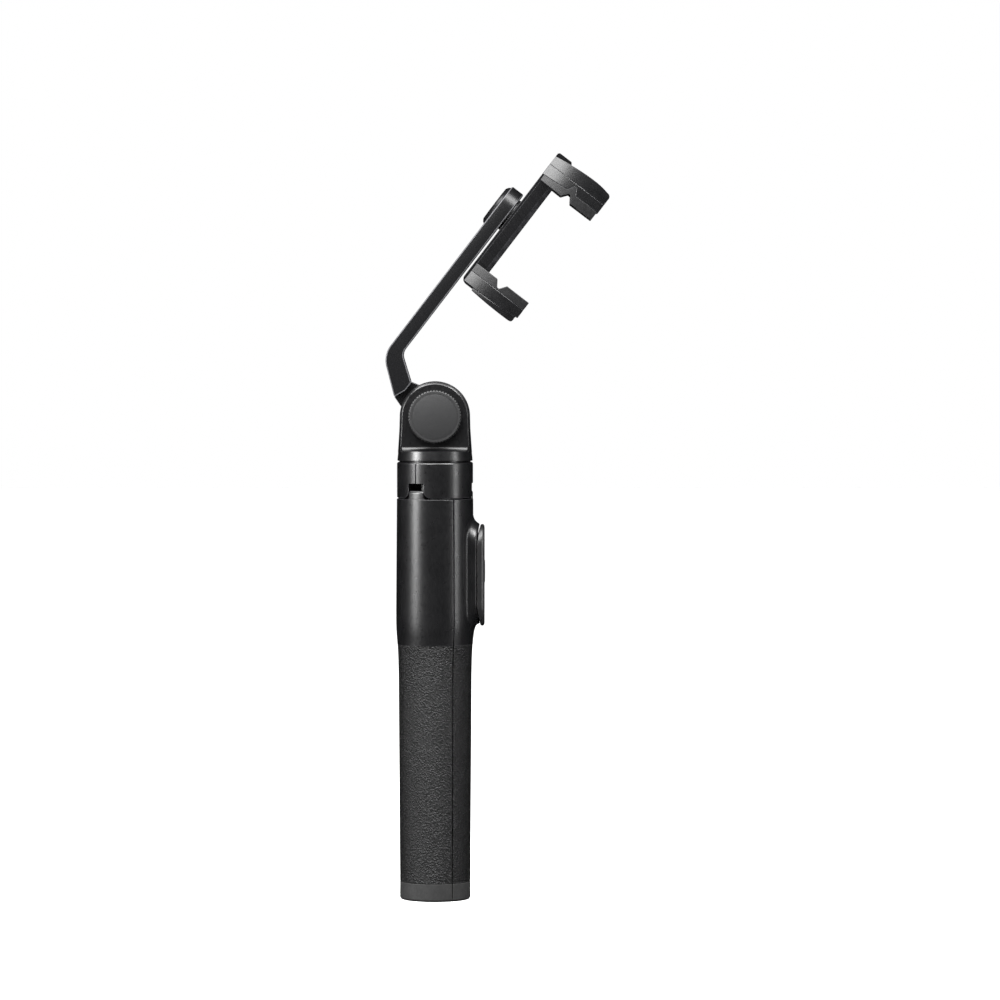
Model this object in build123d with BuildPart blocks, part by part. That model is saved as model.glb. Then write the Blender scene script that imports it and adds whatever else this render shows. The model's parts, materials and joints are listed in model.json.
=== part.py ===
from build123d import *
import os
from math import cos, radians, sin, sqrt

# Tripod selfie stick, folded. Millimetres, +Z up, origin on the floor under the handle's axis.
# The tilt knob faces -Y, and the arm leans towards +X.

os.makedirs("parts", exist_ok=True)

# ---- driving dimensions ----
foot_h = 9.0                  # rubber foot height
grip_top = 127.9              # where the textured grip ends
leg_top = 200.7
collar_bottom, collar_top = 201.4, 219.1
ring_bottom, ring_top = 219.7, 224.6      # round base of the fork
pivot_z = 241.85              # tilt pivot height
collar_r = 19.0
leg_inner_r = 12.0
seam_angle = 1.4              # gap between neighbouring legs, degrees
leg_angles = {"right": 0.0, "back_left": 120.0, "front_left": 240.0}

tube_count = 6
tube_r = [10.5 - 1.3 * i for i in range(tube_count)]      # outer radii, outermost first
tube_wall = 0.6
tube_foot, tube_head = 18.0, 218.4
running = 0.04                # radial clearance of a sliding or turning fit

fork_half = 8.1               # half thickness across the cheeks
slot_half = 3.6
fork_r = 17.5                 # round top of the cheeks
ring_r = 18.8
knob_r = 13.3
axle_r = 2.5

tilt = 37.5                   # arm lean from vertical at rest, degrees
arm_outer, arm_inner = 39.1, 32.1         # faces of the arm's long run, off the pivot
arm_half = 12.2               # half width of the arm at its head
swivel_s = 102.4              # clamp swivel, along the arm from the pivot
rail_back, rail_front = 31.0, 22.3
rail_half = 11.0
jaw_half = 15.0
jaw_tip = -2.8
fixed_face, moving_face = 73.4, 124.8     # pad faces, along the arm
jaw_travel = 32.0
remote_z = 162.5
remote_len, remote_w = 51.0, 20.4
remote_seam, remote_face = 21.0, 24.8     # distances from the handle's axis

# ---- frames ----
lean = (sin(radians(tilt)), 0, cos(radians(tilt)))        # along the arm
lift = (-cos(radians(tilt)), 0, sin(radians(tilt)))       # square to the arm, away from the clamp
pivot = Vector(0, 0, pivot_z)
arm_side = Plane(origin=pivot, x_dir=lean, z_dir=(0, -1, 0))


def arm_plane(along, off):
    """A plane facing away from the clamp, centred on a point of the arm's own frame."""
    centre = pivot + Vector(*lean) * along + Vector(*lift) * off
    return Plane(origin=centre, x_dir=lean, z_dir=lift)


def across_plane(along, off):
    """A plane square to the arm's long run, with its local X across the arm."""
    centre = pivot + Vector(*lean) * along + Vector(*lift) * off
    return Plane(origin=centre, x_dir=(0, 1, 0), z_dir=lean)


def spoke_plane(angle):
    """The upright plane through the handle's axis, at an angle about it."""
    a = radians(angle)
    return Plane(origin=(0, 0, 0), x_dir=(cos(a), sin(a), 0), z_dir=(sin(a), -cos(a), 0))


def save(part, name):
    part.label = name
    export_step(part, f"parts/{name}.step")


# ---- collar: holds the outer tube and the three leg hinges ----
hinge_r, hinge_z = 15.0, collar_bottom + 2.0
pin_r = 1.0
tongue_half, notch_half = 4.05, 4.35
notch_top = collar_bottom + 7.2
notch_inner = 11.3
pads_r, pads_drop = 18.4, 0.55             # stop pads under the collar, close to the legs' tops
pads_chord = 13.7                         # they are cut back here, where the opening legs' tops pass
pin_end = notch_half + 2.5                # half length of a hinge pin
collar_round, collar_edge = 1.0, 0.35

with BuildPart() as collar:
    with BuildSketch(Plane.XY.offset(collar_bottom)):
        Circle(collar_r)
    extrude(amount=collar_top - collar_bottom)
    fillet(collar.edges().filter_by(GeomType.CIRCLE).sort_by(Axis.Z)[-1], collar_round)
    chamfer(collar.edges().filter_by(GeomType.CIRCLE).sort_by(Axis.Z)[0], collar_edge)
    with BuildSketch(Plane.XY.offset(collar_bottom)):
        Circle(tube_r[0])
    extrude(amount=collar_top - collar_bottom, mode=Mode.SUBTRACT)
    with BuildSketch(Plane.XY.offset(collar_bottom - pads_drop)):
        Circle(pads_r)
        Circle(tube_r[0], mode=Mode.SUBTRACT)
        for angle in leg_angles.values():
            a, far = radians(angle), pads_chord + pads_r
            with Locations(Location((far * cos(a), far * sin(a), 0), (0, 0, angle))):
                Rectangle(2 * pads_r, 2 * pads_r, mode=Mode.SUBTRACT)
    extrude(amount=pads_drop)
    for angle in leg_angles.values():
        with BuildSketch(spoke_plane(angle)):
            with BuildLine():
                Polyline((notch_inner, collar_bottom - 1), (collar_r + 2, collar_bottom - 1),
                         (collar_r + 2, notch_top), (notch_inner, notch_top), close=True)
            make_face()
        extrude(amount=notch_half, both=True, mode=Mode.SUBTRACT)
        with BuildSketch(spoke_plane(angle)):
            with Locations((hinge_r, hinge_z)):
                Circle(pin_r)
        extrude(amount=pin_end + 0.1, both=True, mode=Mode.SUBTRACT)
save(collar.part, "collar")

with BuildPart() as leg_hinge_pins:
    for angle in leg_angles.values():
        with BuildSketch(spoke_plane(angle)):
            with Locations((hinge_r, hinge_z)):
                Circle(pin_r)
        extrude(amount=pin_end, both=True)
save(leg_hinge_pins.part, "leg_hinge_pins")

# ---- legs: three shells that close into the handle ----
leg_arc = 120 - seam_angle
belly_r, belly_z = 19.5, 139.0
shell_r = 19.1
step_r, step_z = 19.28, 133.4             # middle of the curve down to the grip
ledge = 0.1                   # how far the shell stands proud of the grip's top edge
skin = 1.2                    # grip skin thickness
grip_r_top, grip_r_mid, grip_r_low = 18.8, 18.2, 17.7
grip_z_mid = 112.0
pocket_r, pocket_arc = 16.0, 100.0
pocket_count, pocket_low, pocket_high, rib = 4, 15.0, 184.0, 2.4
pocket_step = (pocket_high - pocket_low + rib) / pocket_count
relief_edge = sqrt((collar_r - hinge_r) ** 2 + (hinge_z - collar_bottom) ** 2) + 0.1
relief_rim = hinge_r + sqrt(relief_edge ** 2 - (hinge_z - leg_top) ** 2)
rim_back, rim_mid, rim_drop = hinge_r - 0.4, hinge_r + 1.4, 1.75
tongue_out, tongue_r = shell_r - 0.25, 1.8
tongue_low = leg_top - 4
foot_edge = 1.4
window_len, window_w = 52.0, 19.0         # opening in the right leg for the remote's cradle

for name, angle in leg_angles.items():
    start = spoke_plane(angle - leg_arc / 2)
    radial = spoke_plane(angle)
    with BuildPart() as leg:
        with BuildSketch(start):
            with BuildLine():
                Polyline((grip_r_low - skin, foot_h), (leg_inner_r, foot_h), (leg_inner_r, leg_top),
                         (shell_r, leg_top), (belly_r, belly_z))
                ThreePointArc((belly_r, belly_z), (step_r, step_z), (grip_r_top + ledge, grip_top))
                Polyline((grip_r_top + ledge, grip_top), (grip_r_top - skin, grip_top),
                         (grip_r_mid - skin, grip_z_mid), (grip_r_low - skin, foot_h))
            make_face()
        revolve(axis=Axis.Z, revolution_arc=leg_arc)
        # lightening pockets open to the inside, with ribs between them
        with BuildSketch(spoke_plane(angle - pocket_arc / 2)):
            for i in range(pocket_count):
                low = pocket_low + i * pocket_step
                with BuildLine():
                    Polyline((leg_inner_r - 1, low), (pocket_r, low), (pocket_r, low + pocket_step - rib),
                             (leg_inner_r - 1, low + pocket_step - rib), close=True)
                make_face()
        revolve(axis=Axis.Z, revolution_arc=pocket_arc, mode=Mode.SUBTRACT)
        # relief behind the top rim, so that the leg can swing out under the collar
        with BuildSketch(start):
            with BuildLine():
                Polyline((relief_rim, leg_top + 1), (relief_rim, leg_top), (hinge_r + 3, leg_top - 1),
                         (rim_mid, leg_top - rim_drop), (rim_back, leg_top), (rim_back, leg_top + 1),
                         close=True)
            make_face()
        revolve(axis=Axis.Z, revolution_arc=leg_arc, mode=Mode.SUBTRACT)
        # hinge tongue
        with BuildSketch(radial):
            with BuildLine():
                Polyline((tongue_out, tongue_low), (tongue_out, hinge_z + tongue_r),
                         (hinge_r, hinge_z + tongue_r))
                CenterArc((hinge_r, hinge_z), tongue_r, 90, 90)
                Polyline((hinge_r - tongue_r, hinge_z), (hinge_r - tongue_r, tongue_low),
                         (tongue_out, tongue_low))
            make_face()
        extrude(amount=tongue_half, both=True)
        with BuildSketch(radial):
            with Locations((hinge_r, hinge_z)):
                Circle(pin_r + running)
        extrude(amount=collar_r, both=True, mode=Mode.SUBTRACT)
        if name == "right":
            with BuildSketch(Plane.YZ.offset(leg_inner_r / 2)):
                with Locations((0, remote_z)):
                    SlotOverall(window_len, window_w, rotation=90)
            extrude(amount=belly_r, mode=Mode.SUBTRACT)
    save(leg.part, f"leg_{name}")

    with BuildPart() as grip:
        with BuildSketch(start):
            with BuildLine():
                Polyline((grip_r_low, foot_h), (grip_r_low - skin, foot_h),
                         (grip_r_mid - skin, grip_z_mid), (grip_r_top - skin, grip_top),
                         (grip_r_top, grip_top), (grip_r_mid, grip_z_mid), close=True)
            make_face()
        revolve(axis=Axis.Z, revolution_arc=leg_arc)
    save(grip.part, f"grip_{name}")

    with BuildPart() as foot:
        with BuildSketch(start):
            with BuildLine():
                Polyline((leg_inner_r, foot_h), (grip_r_low, foot_h), (grip_r_low, foot_edge),
                         (grip_r_low - foot_edge, 0), (leg_inner_r, 0), close=True)
            make_face()
        revolve(axis=Axis.Z, revolution_arc=leg_arc)
    save(foot.part, f"foot_{name}")

# ---- telescopic pole: six aluminium tubes with plastic bushes between them ----
bush_h, flange_h, guide_h = 7.0, 0.5, 12.0
fork_socket = 3.2             # how far the innermost tube enters the fork
outer_foot = tube_foot - 4.0  # the outer tube reaches lower, round its end plug
plug_lip, plug_h = 2.0, 5.5

for i in range(tube_count):
    low = outer_foot if i == 0 else tube_foot
    high = ring_bottom + fork_socket if i == tube_count - 1 else tube_head
    with BuildPart() as tube:
        with BuildSketch(Plane.XY.offset(low)):
            Circle(tube_r[i])
            Circle(tube_r[i] - tube_wall, mode=Mode.SUBTRACT)
        extrude(amount=high - low)
    save(tube.part, f"tube_{i + 1}")
    if i < tube_count - 1:
        with BuildPart() as bush:
            with BuildSketch(Plane.XY.offset(tube_head - bush_h)):
                Circle(tube_r[i] - tube_wall)
            extrude(amount=bush_h)
            with BuildSketch(Plane.XY.offset(tube_head)):
                Circle(tube_r[i])
            extrude(amount=flange_h)
            with BuildSketch(Plane.XY.offset(tube_head - bush_h)):
                Circle(tube_r[i + 1] + running)
            extrude(amount=bush_h + flange_h, mode=Mode.SUBTRACT)
        save(bush.part, f"bush_{i + 1}")
    if i > 0:
        with BuildPart() as guide:
            with BuildSketch(Plane.XY.offset(tube_foot)):
                Circle(tube_r[i - 1] - tube_wall - running)
                Circle(tube_r[i], mode=Mode.SUBTRACT)
            extrude(amount=guide_h)
        save(guide.part, f"guide_{i + 1}")

with BuildPart() as end_plug:
    with BuildSketch(Plane.XY.offset(outer_foot - plug_lip)):
        Circle(tube_r[0])
    extrude(amount=plug_lip)
    with BuildSketch(Plane.XY.offset(outer_foot)):
        Circle(tube_r[0] - tube_wall)
    extrude(amount=plug_h - plug_lip)
save(end_plug.part, "end_plug")

# ---- remote's cradle, fixed in the right leg ----
cradle_len, cradle_w = 55.0, 21.6
tray_floor = 15.4
tray_wall = 1.0
tray_len, tray_w = 47.0, 16.8             # pocket that the remote sits in
cradle_face = remote_seam - 0.4
flare, flare_x = 3.5, 16.0                # how much the rim grows down to the handle
block_len, block_w = window_len - 0.2, window_w - 0.2

with BuildPart() as remote_cradle:
    with BuildSketch(Plane.YZ.offset(tray_floor)):
        with Locations((0, remote_z)):
            SlotOverall(block_len, block_w, rotation=90)
    extrude(amount=cradle_face - tray_floor)
    # the flared rim that stands out of the handle
    with BuildSketch(Plane.YZ.offset(flare_x)):
        with Locations((0, remote_z)):
            SlotOverall(cradle_len + flare, cradle_w + flare, rotation=90)
    with BuildSketch(Plane.YZ.offset(cradle_face)):
        with Locations((0, remote_z)):
            SlotOverall(cradle_len, cradle_w, rotation=90)
    loft(mode=Mode.ADD)
    # the rim follows the handle, and only the block goes through the window
    with BuildSketch(Plane.XY.offset(remote_z - cradle_len)):
        Circle(belly_r + 0.03)
    handle = extrude(amount=2 * cradle_len, mode=Mode.PRIVATE)
    with BuildSketch(Plane.YZ.offset(tray_floor - 1)):
        with Locations((0, remote_z)):
            SlotOverall(block_len, block_w, rotation=90)
    block = extrude(amount=belly_r, mode=Mode.PRIVATE)
    add(handle - block, mode=Mode.SUBTRACT)
    with BuildSketch(Plane.YZ.offset(tray_floor + tray_wall)):
        with Locations((0, remote_z)):
            SlotOverall(tray_len, tray_w, rotation=90)
    extrude(amount=belly_r, mode=Mode.SUBTRACT)
save(remote_cradle.part, "remote_cradle")

# ---- remote: two shells, a board, a coin cell, a button and a light window ----
case_gap = 0.25               # between the remote and its cradle
base_len, base_w = tray_len - 2 * case_gap, tray_w - 2 * case_gap
base_x = tray_floor + tray_wall + case_gap
case_wall = 1.0
room_len, room_w = base_len - 2 * case_wall, base_w - 2 * case_wall
lid_round = 1.6
button_z, button_r, button_proud = remote_z + 2.0, 5.6, 0.3
button_lip = 0.8
led_z, led_r = remote_z - 15.0, 0.8

with BuildPart() as remote_base:
    with BuildSketch(Plane.YZ.offset(base_x)):
        with Locations((0, remote_z)):
            SlotOverall(base_len, base_w, rotation=90)
    extrude(amount=remote_seam - base_x)
    with BuildSketch(Plane.YZ.offset(base_x + case_wall)):
        with Locations((0, remote_z)):
            SlotOverall(room_len, room_w, rotation=90)
    extrude(amount=remote_seam - base_x, mode=Mode.SUBTRACT)
save(remote_base.part, "remote_base")

with BuildPart() as remote_lid:
    with BuildSketch(Plane.YZ.offset(remote_seam)):
        with Locations((0, remote_z)):
            SlotOverall(remote_len, remote_w, rotation=90)
    extrude(amount=remote_face - remote_seam)
    fillet(remote_lid.faces().sort_by(Axis.X)[-1].edges(), lid_round)
    with BuildSketch(Plane.YZ.offset(remote_seam)):
        with Locations((0, remote_z)):
            SlotOverall(room_len, room_w, rotation=90)
    extrude(amount=remote_face - case_wall - remote_seam, mode=Mode.SUBTRACT)
    with BuildSketch(Plane.YZ.offset(remote_seam)):
        with Locations((0, button_z)):
            Circle(button_r + 0.1)
        with Locations((0, led_z)):
            Circle(led_r)
    extrude(amount=remote_face - remote_seam, mode=Mode.SUBTRACT)
save(remote_lid.part, "remote_lid")

with BuildPart() as remote_button:
    with BuildSketch(Plane.YZ.offset(remote_face - case_wall - 0.1)):
        with Locations((0, button_z)):
            Circle(button_r)
    extrude(amount=case_wall + 0.1 + button_proud)
    # lip that keeps it in the case
    with BuildSketch(Plane.YZ.offset(remote_face - 2 * case_wall)):
        with Locations((0, button_z)):
            Circle(button_r + button_lip)
    extrude(amount=0.95)
save(remote_button.part, "remote_button")

cell_x, cell_t, cell_r = base_x + case_wall + 0.05, 3.2, 6.25
board_x, board_t = cell_x + cell_t + 0.05, 0.6
dome_r, dome_h = 2.2, 0.4     # the switch under the button
with BuildPart() as remote_board:
    with BuildSketch(Plane.YZ.offset(board_x)):
        with Locations((0, remote_z)):
            SlotOverall(room_len - 1, room_w - 1, rotation=90)
    extrude(amount=board_t)
    with BuildSketch(Plane.YZ.offset(board_x + board_t)):
        with Locations((0, button_z)):
            Circle(dome_r)
    extrude(amount=dome_h)
save(remote_board.part, "remote_board")

with BuildPart() as remote_cell:
    with BuildSketch(Plane.YZ.offset(cell_x)):
        with Locations((0, remote_z)):
            Circle(cell_r)
    extrude(amount=cell_t)
save(remote_cell.part, "remote_cell")

with BuildPart() as remote_light:
    with BuildSketch(Plane.YZ.offset(remote_face - case_wall)):
        with Locations((0, led_z)):
            Circle(led_r)
    extrude(amount=case_wall)
save(remote_light.part, "remote_light")

# ---- fork: a turned body with two milled flats, slotted for the arm's tongue ----
fork_low_r, fork_high_r = 18.65, 17.6
spigot_r, spigot_drop = 17.8, 0.5
slot_floor = pivot_z - 14.6
cheek_h = pivot_z - ring_bottom
stem_len = 20.0

with BuildPart() as fork:
    with BuildSketch(Plane.XZ):
        with BuildLine():
            Polyline((0, ring_top - 1), (fork_low_r, ring_top - 1), (fork_high_r, pivot_z),
                     (fork_high_r, pivot_z + fork_r + 1), (0, pivot_z + fork_r + 1), close=True)
        make_face()
    revolve(axis=Axis.Z)
    with BuildSketch(Plane.XZ):
        with Locations((0, pivot_z)):
            Circle(fork_r)
        with Locations((0, pivot_z - cheek_h / 2)):
            Rectangle(3 * fork_r, cheek_h)
    extrude(amount=fork_half, both=True, mode=Mode.INTERSECT)
    # round base ring, and a spigot that closes the gap to the collar
    with BuildSketch(Plane.XY.offset(ring_bottom)):
        Circle(ring_r)
    extrude(amount=ring_top - ring_bottom)
    with BuildSketch(Plane.XY.offset(ring_bottom - spigot_drop)):
        Circle(spigot_r)
    extrude(amount=spigot_drop)
    # slot for the arm
    with BuildSketch(Plane.XZ):
        with Locations((0, slot_floor + fork_r)):
            Rectangle(3 * fork_r, 2 * fork_r)
    extrude(amount=slot_half, both=True, mode=Mode.SUBTRACT)
    # axle hole, and a socket for the innermost tube and its stem
    with BuildSketch(Plane.XZ):
        with Locations((0, pivot_z)):
            Circle(axle_r)
    extrude(amount=2 * fork_half, both=True, mode=Mode.SUBTRACT)
    with BuildSketch(Plane.XY.offset(ring_bottom - spigot_drop)):
        Circle(tube_r[-1])
    extrude(amount=fork_socket + spigot_drop, mode=Mode.SUBTRACT)
save(fork.part, "fork")

with BuildPart() as fork_stem:
    with BuildSketch(Plane.XY.offset(ring_bottom - stem_len)):
        Circle(tube_r[-1] - tube_wall)
    extrude(amount=stem_len + fork_socket)
save(fork_stem.part, "fork_stem")

# ---- tilt axle, washers and knob ----
axle_tip = 11.2
head_r, head_h = 7.6, 2.3                 # round head behind the fork, with a hex socket
socket_r, socket_h = 2.3, 1.4
washer_r, washer_t = 10.5, 0.35
tongue_t = slot_half - washer_t - 0.05    # half thickness of the arm's tongue
knob_back, knob_front = fork_half + 0.3, 12.6

with BuildPart() as tilt_axle:
    with BuildSketch(Plane.XZ.offset(-fork_half)):
        with Locations((0, pivot_z)):
            Circle(axle_r)
    extrude(amount=fork_half + axle_tip)
    with BuildSketch(Plane.XZ.offset(-fork_half)):
        with Locations((0, pivot_z)):
            Circle(head_r)
    extrude(amount=-head_h)
    with BuildSketch(Plane.XZ.offset(-fork_half - head_h)):
        with Locations((0, pivot_z)):
            RegularPolygon(socket_r, 6)
    extrude(amount=socket_h, mode=Mode.SUBTRACT)
save(tilt_axle.part, "tilt_axle")

with BuildPart() as tilt_washers:
    for side in (slot_half, -slot_half + washer_t):
        with BuildSketch(Plane.XZ.offset(-side)):
            with Locations((0, pivot_z)):
                Circle(washer_r)
                Circle(axle_r, mode=Mode.SUBTRACT)
        extrude(amount=washer_t)
save(tilt_washers.part, "tilt_washers")

teeth, groove_r, groove_off = 53, 0.6, 0.35
knob_edge = 0.8
cap_r, cap_t = 11.4, 0.9
insert_r = 4.6
with BuildPart() as tilt_knob:
    with BuildSketch(Plane.XZ.offset(knob_back)):
        with Locations((0, pivot_z)):
            Circle(knob_r)
    extrude(amount=knob_front - knob_back)
    chamfer(tilt_knob.faces().sort_by(Axis.Y)[0].edges(), knob_edge)
    with BuildSketch(Plane.XZ.offset(knob_back)):
        with Locations((0, pivot_z)):
            with PolarLocations(knob_r + groove_off, teeth):
                Circle(groove_r)
    extrude(amount=knob_front - knob_back, mode=Mode.SUBTRACT)
    with BuildSketch(Plane.XZ.offset(knob_front - cap_t)):
        with Locations((0, pivot_z)):
            Circle(cap_r)
    extrude(amount=cap_t, mode=Mode.SUBTRACT)
    with BuildSketch(Plane.XZ.offset(knob_back)):
        with Locations((0, pivot_z)):
            RegularPolygon(insert_r, 6)
    extrude(amount=knob_front - knob_back, mode=Mode.SUBTRACT)
save(tilt_knob.part, "tilt_knob")

with BuildPart() as knob_insert:
    with BuildSketch(Plane.XZ.offset(knob_back)):
        with Locations((0, pivot_z)):
            RegularPolygon(insert_r, 6)
            Circle(axle_r + running, mode=Mode.SUBTRACT)
    extrude(amount=axle_tip - knob_back)
save(knob_insert.part, "knob_insert")

with BuildPart() as knob_cap:
    with BuildSketch(Plane.XZ.offset(knob_front - cap_t)):
        with Locations((0, pivot_z)):
            Circle(cap_r)
    extrude(amount=cap_t - 0.1)
save(knob_cap.part, "knob_cap")

# ---- arm: one bent bar with an eye at its foot and a round head ----
shoulder = 19.6               # where the bar steps down to its tongue, off the pivot
heel, toe = (-4.6, 22.0), (6.3, shoulder)
elbow_outer, elbow_inner = (8.8, arm_outer), (15.2, arm_inner)
bend_outer, bend_inner = 12.5, 5.5        # radii of the elbow
eye_r = 12.0
plan_low, plan_foot = 8.0, 8.6            # half widths below and above the elbow
plan_s, plan_end = 24.0, -20.0
arm_end = swivel_s + arm_half
swivel_r = 2.2

with BuildPart() as arm:
    with BuildSketch(arm_side):
        with BuildLine():
            FilletPolyline((arm_end, arm_inner), elbow_inner, toe, radius=bend_inner)
            Polyline(toe, (1.4, shoulder), heel)
            FilletPolyline(heel, elbow_outer, (arm_end, arm_outer), radius=bend_outer)
            Line((arm_end, arm_outer), (arm_end, arm_inner))
        make_face()
    extrude(amount=arm_half, both=True)
    # plan of the bar: narrow at the fork, wider at its round head
    with BuildSketch(arm_plane(0, shoulder - 10)):
        with BuildLine():
            Polyline((swivel_s, arm_half), (plan_s, plan_foot), (plan_end, plan_low), (plan_end, -plan_low),
                     (plan_s, -plan_foot), (swivel_s, -arm_half))
            ThreePointArc((swivel_s, -arm_half), (arm_end, 0), (swivel_s, arm_half))
        make_face()
    extrude(amount=arm_outer, mode=Mode.INTERSECT)
    # tongue with the eye that turns on the axle
    with BuildSketch(arm_side):
        Circle(eye_r)
        with BuildLine():
            Polyline((toe[0], shoulder + 1), (eye_r * 0.97, eye_r * 0.2), (-eye_r * 0.99, -eye_r * 0.05),
                     heel, close=True)
        make_face()
    extrude(amount=tongue_t, both=True)
    with BuildSketch(arm_side):
        Circle(axle_r + running)
    extrude(amount=arm_half, both=True, mode=Mode.SUBTRACT)
    with BuildSketch(arm_plane(swivel_s, arm_inner)):
        Circle(swivel_r)
    extrude(amount=arm_outer - arm_inner, mode=Mode.SUBTRACT)
save(arm.part, "arm")

# ---- clamp swivel: a capped screw through the arm's head, and a friction disc ----
swivel_cap_r, cap_h, cap_edge = 11.2, 1.9, 1.7
hub_r = 8.9
nut_h = 0.5
with BuildPart() as swivel_cap:
    with BuildSketch(arm_plane(swivel_s, arm_outer)):
        Circle(swivel_cap_r)
    extrude(amount=cap_h)
    chamfer(swivel_cap.faces().sort_by(Axis(origin=pivot, direction=lift))[-1].edges(), cap_edge)
save(swivel_cap.part, "swivel_cap")

screw_end = rail_front + 3.2
with BuildPart() as swivel_screw:
    with BuildSketch(arm_plane(swivel_s, arm_outer)):
        Circle(swivel_r)
    extrude(amount=-(arm_outer - screw_end))
save(swivel_screw.part, "swivel_screw")

with BuildPart() as swivel_hub:
    with BuildSketch(arm_plane(swivel_s, rail_back)):
        Circle(hub_r)
        Circle(swivel_r + running, mode=Mode.SUBTRACT)
    extrude(amount=arm_inner - rail_back - 0.05)
save(swivel_hub.part, "swivel_hub")

# ---- clamp rail: a channel closed by a back plate, with the slide bar inside ----
plate_t = 1.3
plate_s, plate_r = 61.8, 3.0              # outer face and corner of the plate over the fixed jaw
wrap_s, wrap_low = 62.6, rail_back - 7    # its inner face and lower edge
rail_low, rail_high = 63.6, 127.6
rail_edge, rail_wall = 1.9, 1.2
land_h, land_gap = 0.2, 0.2               # the face that a phone's back rests on, between the pads
bar_half, bar_t = 4.0, 4.4
cavity_half, cavity_front = 9.6, rail_front + 1.4
bar_gap = 0.2
cavity_back = rail_back - plate_t
cavity_mid = (cavity_front + cavity_back) / 2
spring_y, spring_r, spring_wall = 6.75, 2.4, 0.5
head_low, head_high = 66.0, 69.0          # crosshead on the slide bar's inner end
mouth_wall = 2.4

with BuildPart() as rail:
    with BuildSketch(arm_side):
        with BuildLine():
            Polyline((rail_low, rail_front), (rail_high, rail_front), (rail_high, cavity_back),
                     (rail_low, cavity_back), close=True)
        make_face()
    extrude(amount=rail_half, both=True)
    chamfer(rail.edges().filter_by(Axis(origin=pivot, direction=lean))
            .group_by(Axis(origin=pivot, direction=lift))[0], rail_edge)
    for low, high in ((rail_low, fixed_face + land_gap), (moving_face - land_gap, rail_high)):
        with BuildSketch(arm_side):
            with BuildLine():
                Polyline((low, rail_front), (high, rail_front), (high, rail_front + land_h),
                         (low, rail_front + land_h), close=True)
            make_face()
        extrude(amount=rail_half, both=True, mode=Mode.SUBTRACT)
    with BuildSketch(arm_side):
        with BuildLine():
            Polyline((rail_low + rail_wall, cavity_front), (rail_high - mouth_wall, cavity_front),
                     (rail_high - mouth_wall, cavity_back), (rail_low + rail_wall, cavity_back), close=True)
        make_face()
    extrude(amount=cavity_half, both=True, mode=Mode.SUBTRACT)
    with BuildSketch(across_plane(rail_high - mouth_wall - 1, cavity_mid)):
        Rectangle(2 * (bar_half + bar_gap), bar_t + 2 * bar_gap)
    extrude(amount=mouth_wall + 2, mode=Mode.SUBTRACT)
save(rail.part, "rail")

with BuildPart() as rail_back_plate:
    with BuildSketch(arm_side):
        with BuildLine():
            Line((rail_high, rail_back), (plate_s + plate_r, rail_back))
            CenterArc((plate_s + plate_r, rail_back - plate_r), plate_r, 90, 90)
            Polyline((plate_s, rail_back - plate_r), (plate_s, wrap_low), (wrap_s, wrap_low),
                     (wrap_s, cavity_back), (rail_high, cavity_back), (rail_high, rail_back))
        make_face()
    extrude(amount=rail_half, both=True)
    with BuildSketch(arm_plane(swivel_s, cavity_back)):
        Circle(swivel_r + running)
    extrude(amount=plate_t, mode=Mode.SUBTRACT)
save(rail_back_plate.part, "rail_back_plate")

with BuildPart() as swivel_nut:
    with BuildSketch(arm_plane(swivel_s, cavity_back)):
        Circle(swivel_r + 1.0)
        Circle(swivel_r + running, mode=Mode.SUBTRACT)
    extrude(amount=-nut_h)
save(swivel_nut.part, "swivel_nut")

block_low, block_end = rail_high + 0.3, 141.8
block_edge, block_half = 0.8, rail_half - 0.2
slot_gap = 0.4                # round the swivel screw's end

with BuildPart() as slide_bar:
    # crosshead inside the rail
    with BuildSketch(arm_side):
        with BuildLine():
            Polyline((head_low, cavity_mid - bar_t / 2), (head_high, cavity_mid - bar_t / 2),
                     (head_high, cavity_mid + bar_t / 2), (head_low, cavity_mid + bar_t / 2), close=True)
        make_face()
    extrude(amount=cavity_half - 0.3, both=True)
    # bar
    with BuildSketch(across_plane(head_low, cavity_mid)):
        Rectangle(2 * bar_half, bar_t)
    extrude(amount=block_low + 1 - head_low)
    # end block under the moving jaw
    with BuildSketch(arm_side):
        with BuildLine():
            Polyline((block_low, rail_front), (block_end - block_edge, rail_front),
                     (block_end, rail_front + block_edge), (block_end, rail_back - block_edge),
                     (block_end - block_edge, rail_back), (block_low, rail_back), close=True)
        make_face()
    extrude(amount=block_half, both=True)
    # slot that clears the swivel screw's end over the jaw's whole travel
    with BuildSketch(arm_plane(swivel_s - jaw_travel / 2, cavity_back + 1)):
        SlotCenterToCenter(jaw_travel + 2, 2 * (swivel_r + slot_gap))
    extrude(amount=-(cavity_back + 1 - screw_end + slot_gap), mode=Mode.SUBTRACT)
save(slide_bar.part, "slide_bar")

with BuildPart() as jaw_springs:
    for side in (-1, 1):
        with BuildSketch(across_plane(head_high + 0.1, cavity_mid)):
            with Locations((side * spring_y, 0)):
                Circle(spring_r)
                Circle(spring_r - spring_wall, mode=Mode.SUBTRACT)
        extrude(amount=rail_high - mouth_wall - 0.2 - head_high)
save(jaw_springs.part, "jaw_springs")

# ---- jaws: shells with rubber pads, notched to grip a phone's rounded edge ----
notch_off = 13.9              # V notch, off the pivot line
notch_open, notch_deep, notch_flat = 3.0, 3.4, 0.6
crown = 2.6                   # how much narrower a jaw is at its ends
bulge = 12.0                  # where the jaws' backs stand out most, off the pivot line
jaw_reach = 30.0              # long enough to cut through one jaw
rail_mid, rail_depth = (rail_front + rail_back) / 2, rail_back - rail_front


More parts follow.
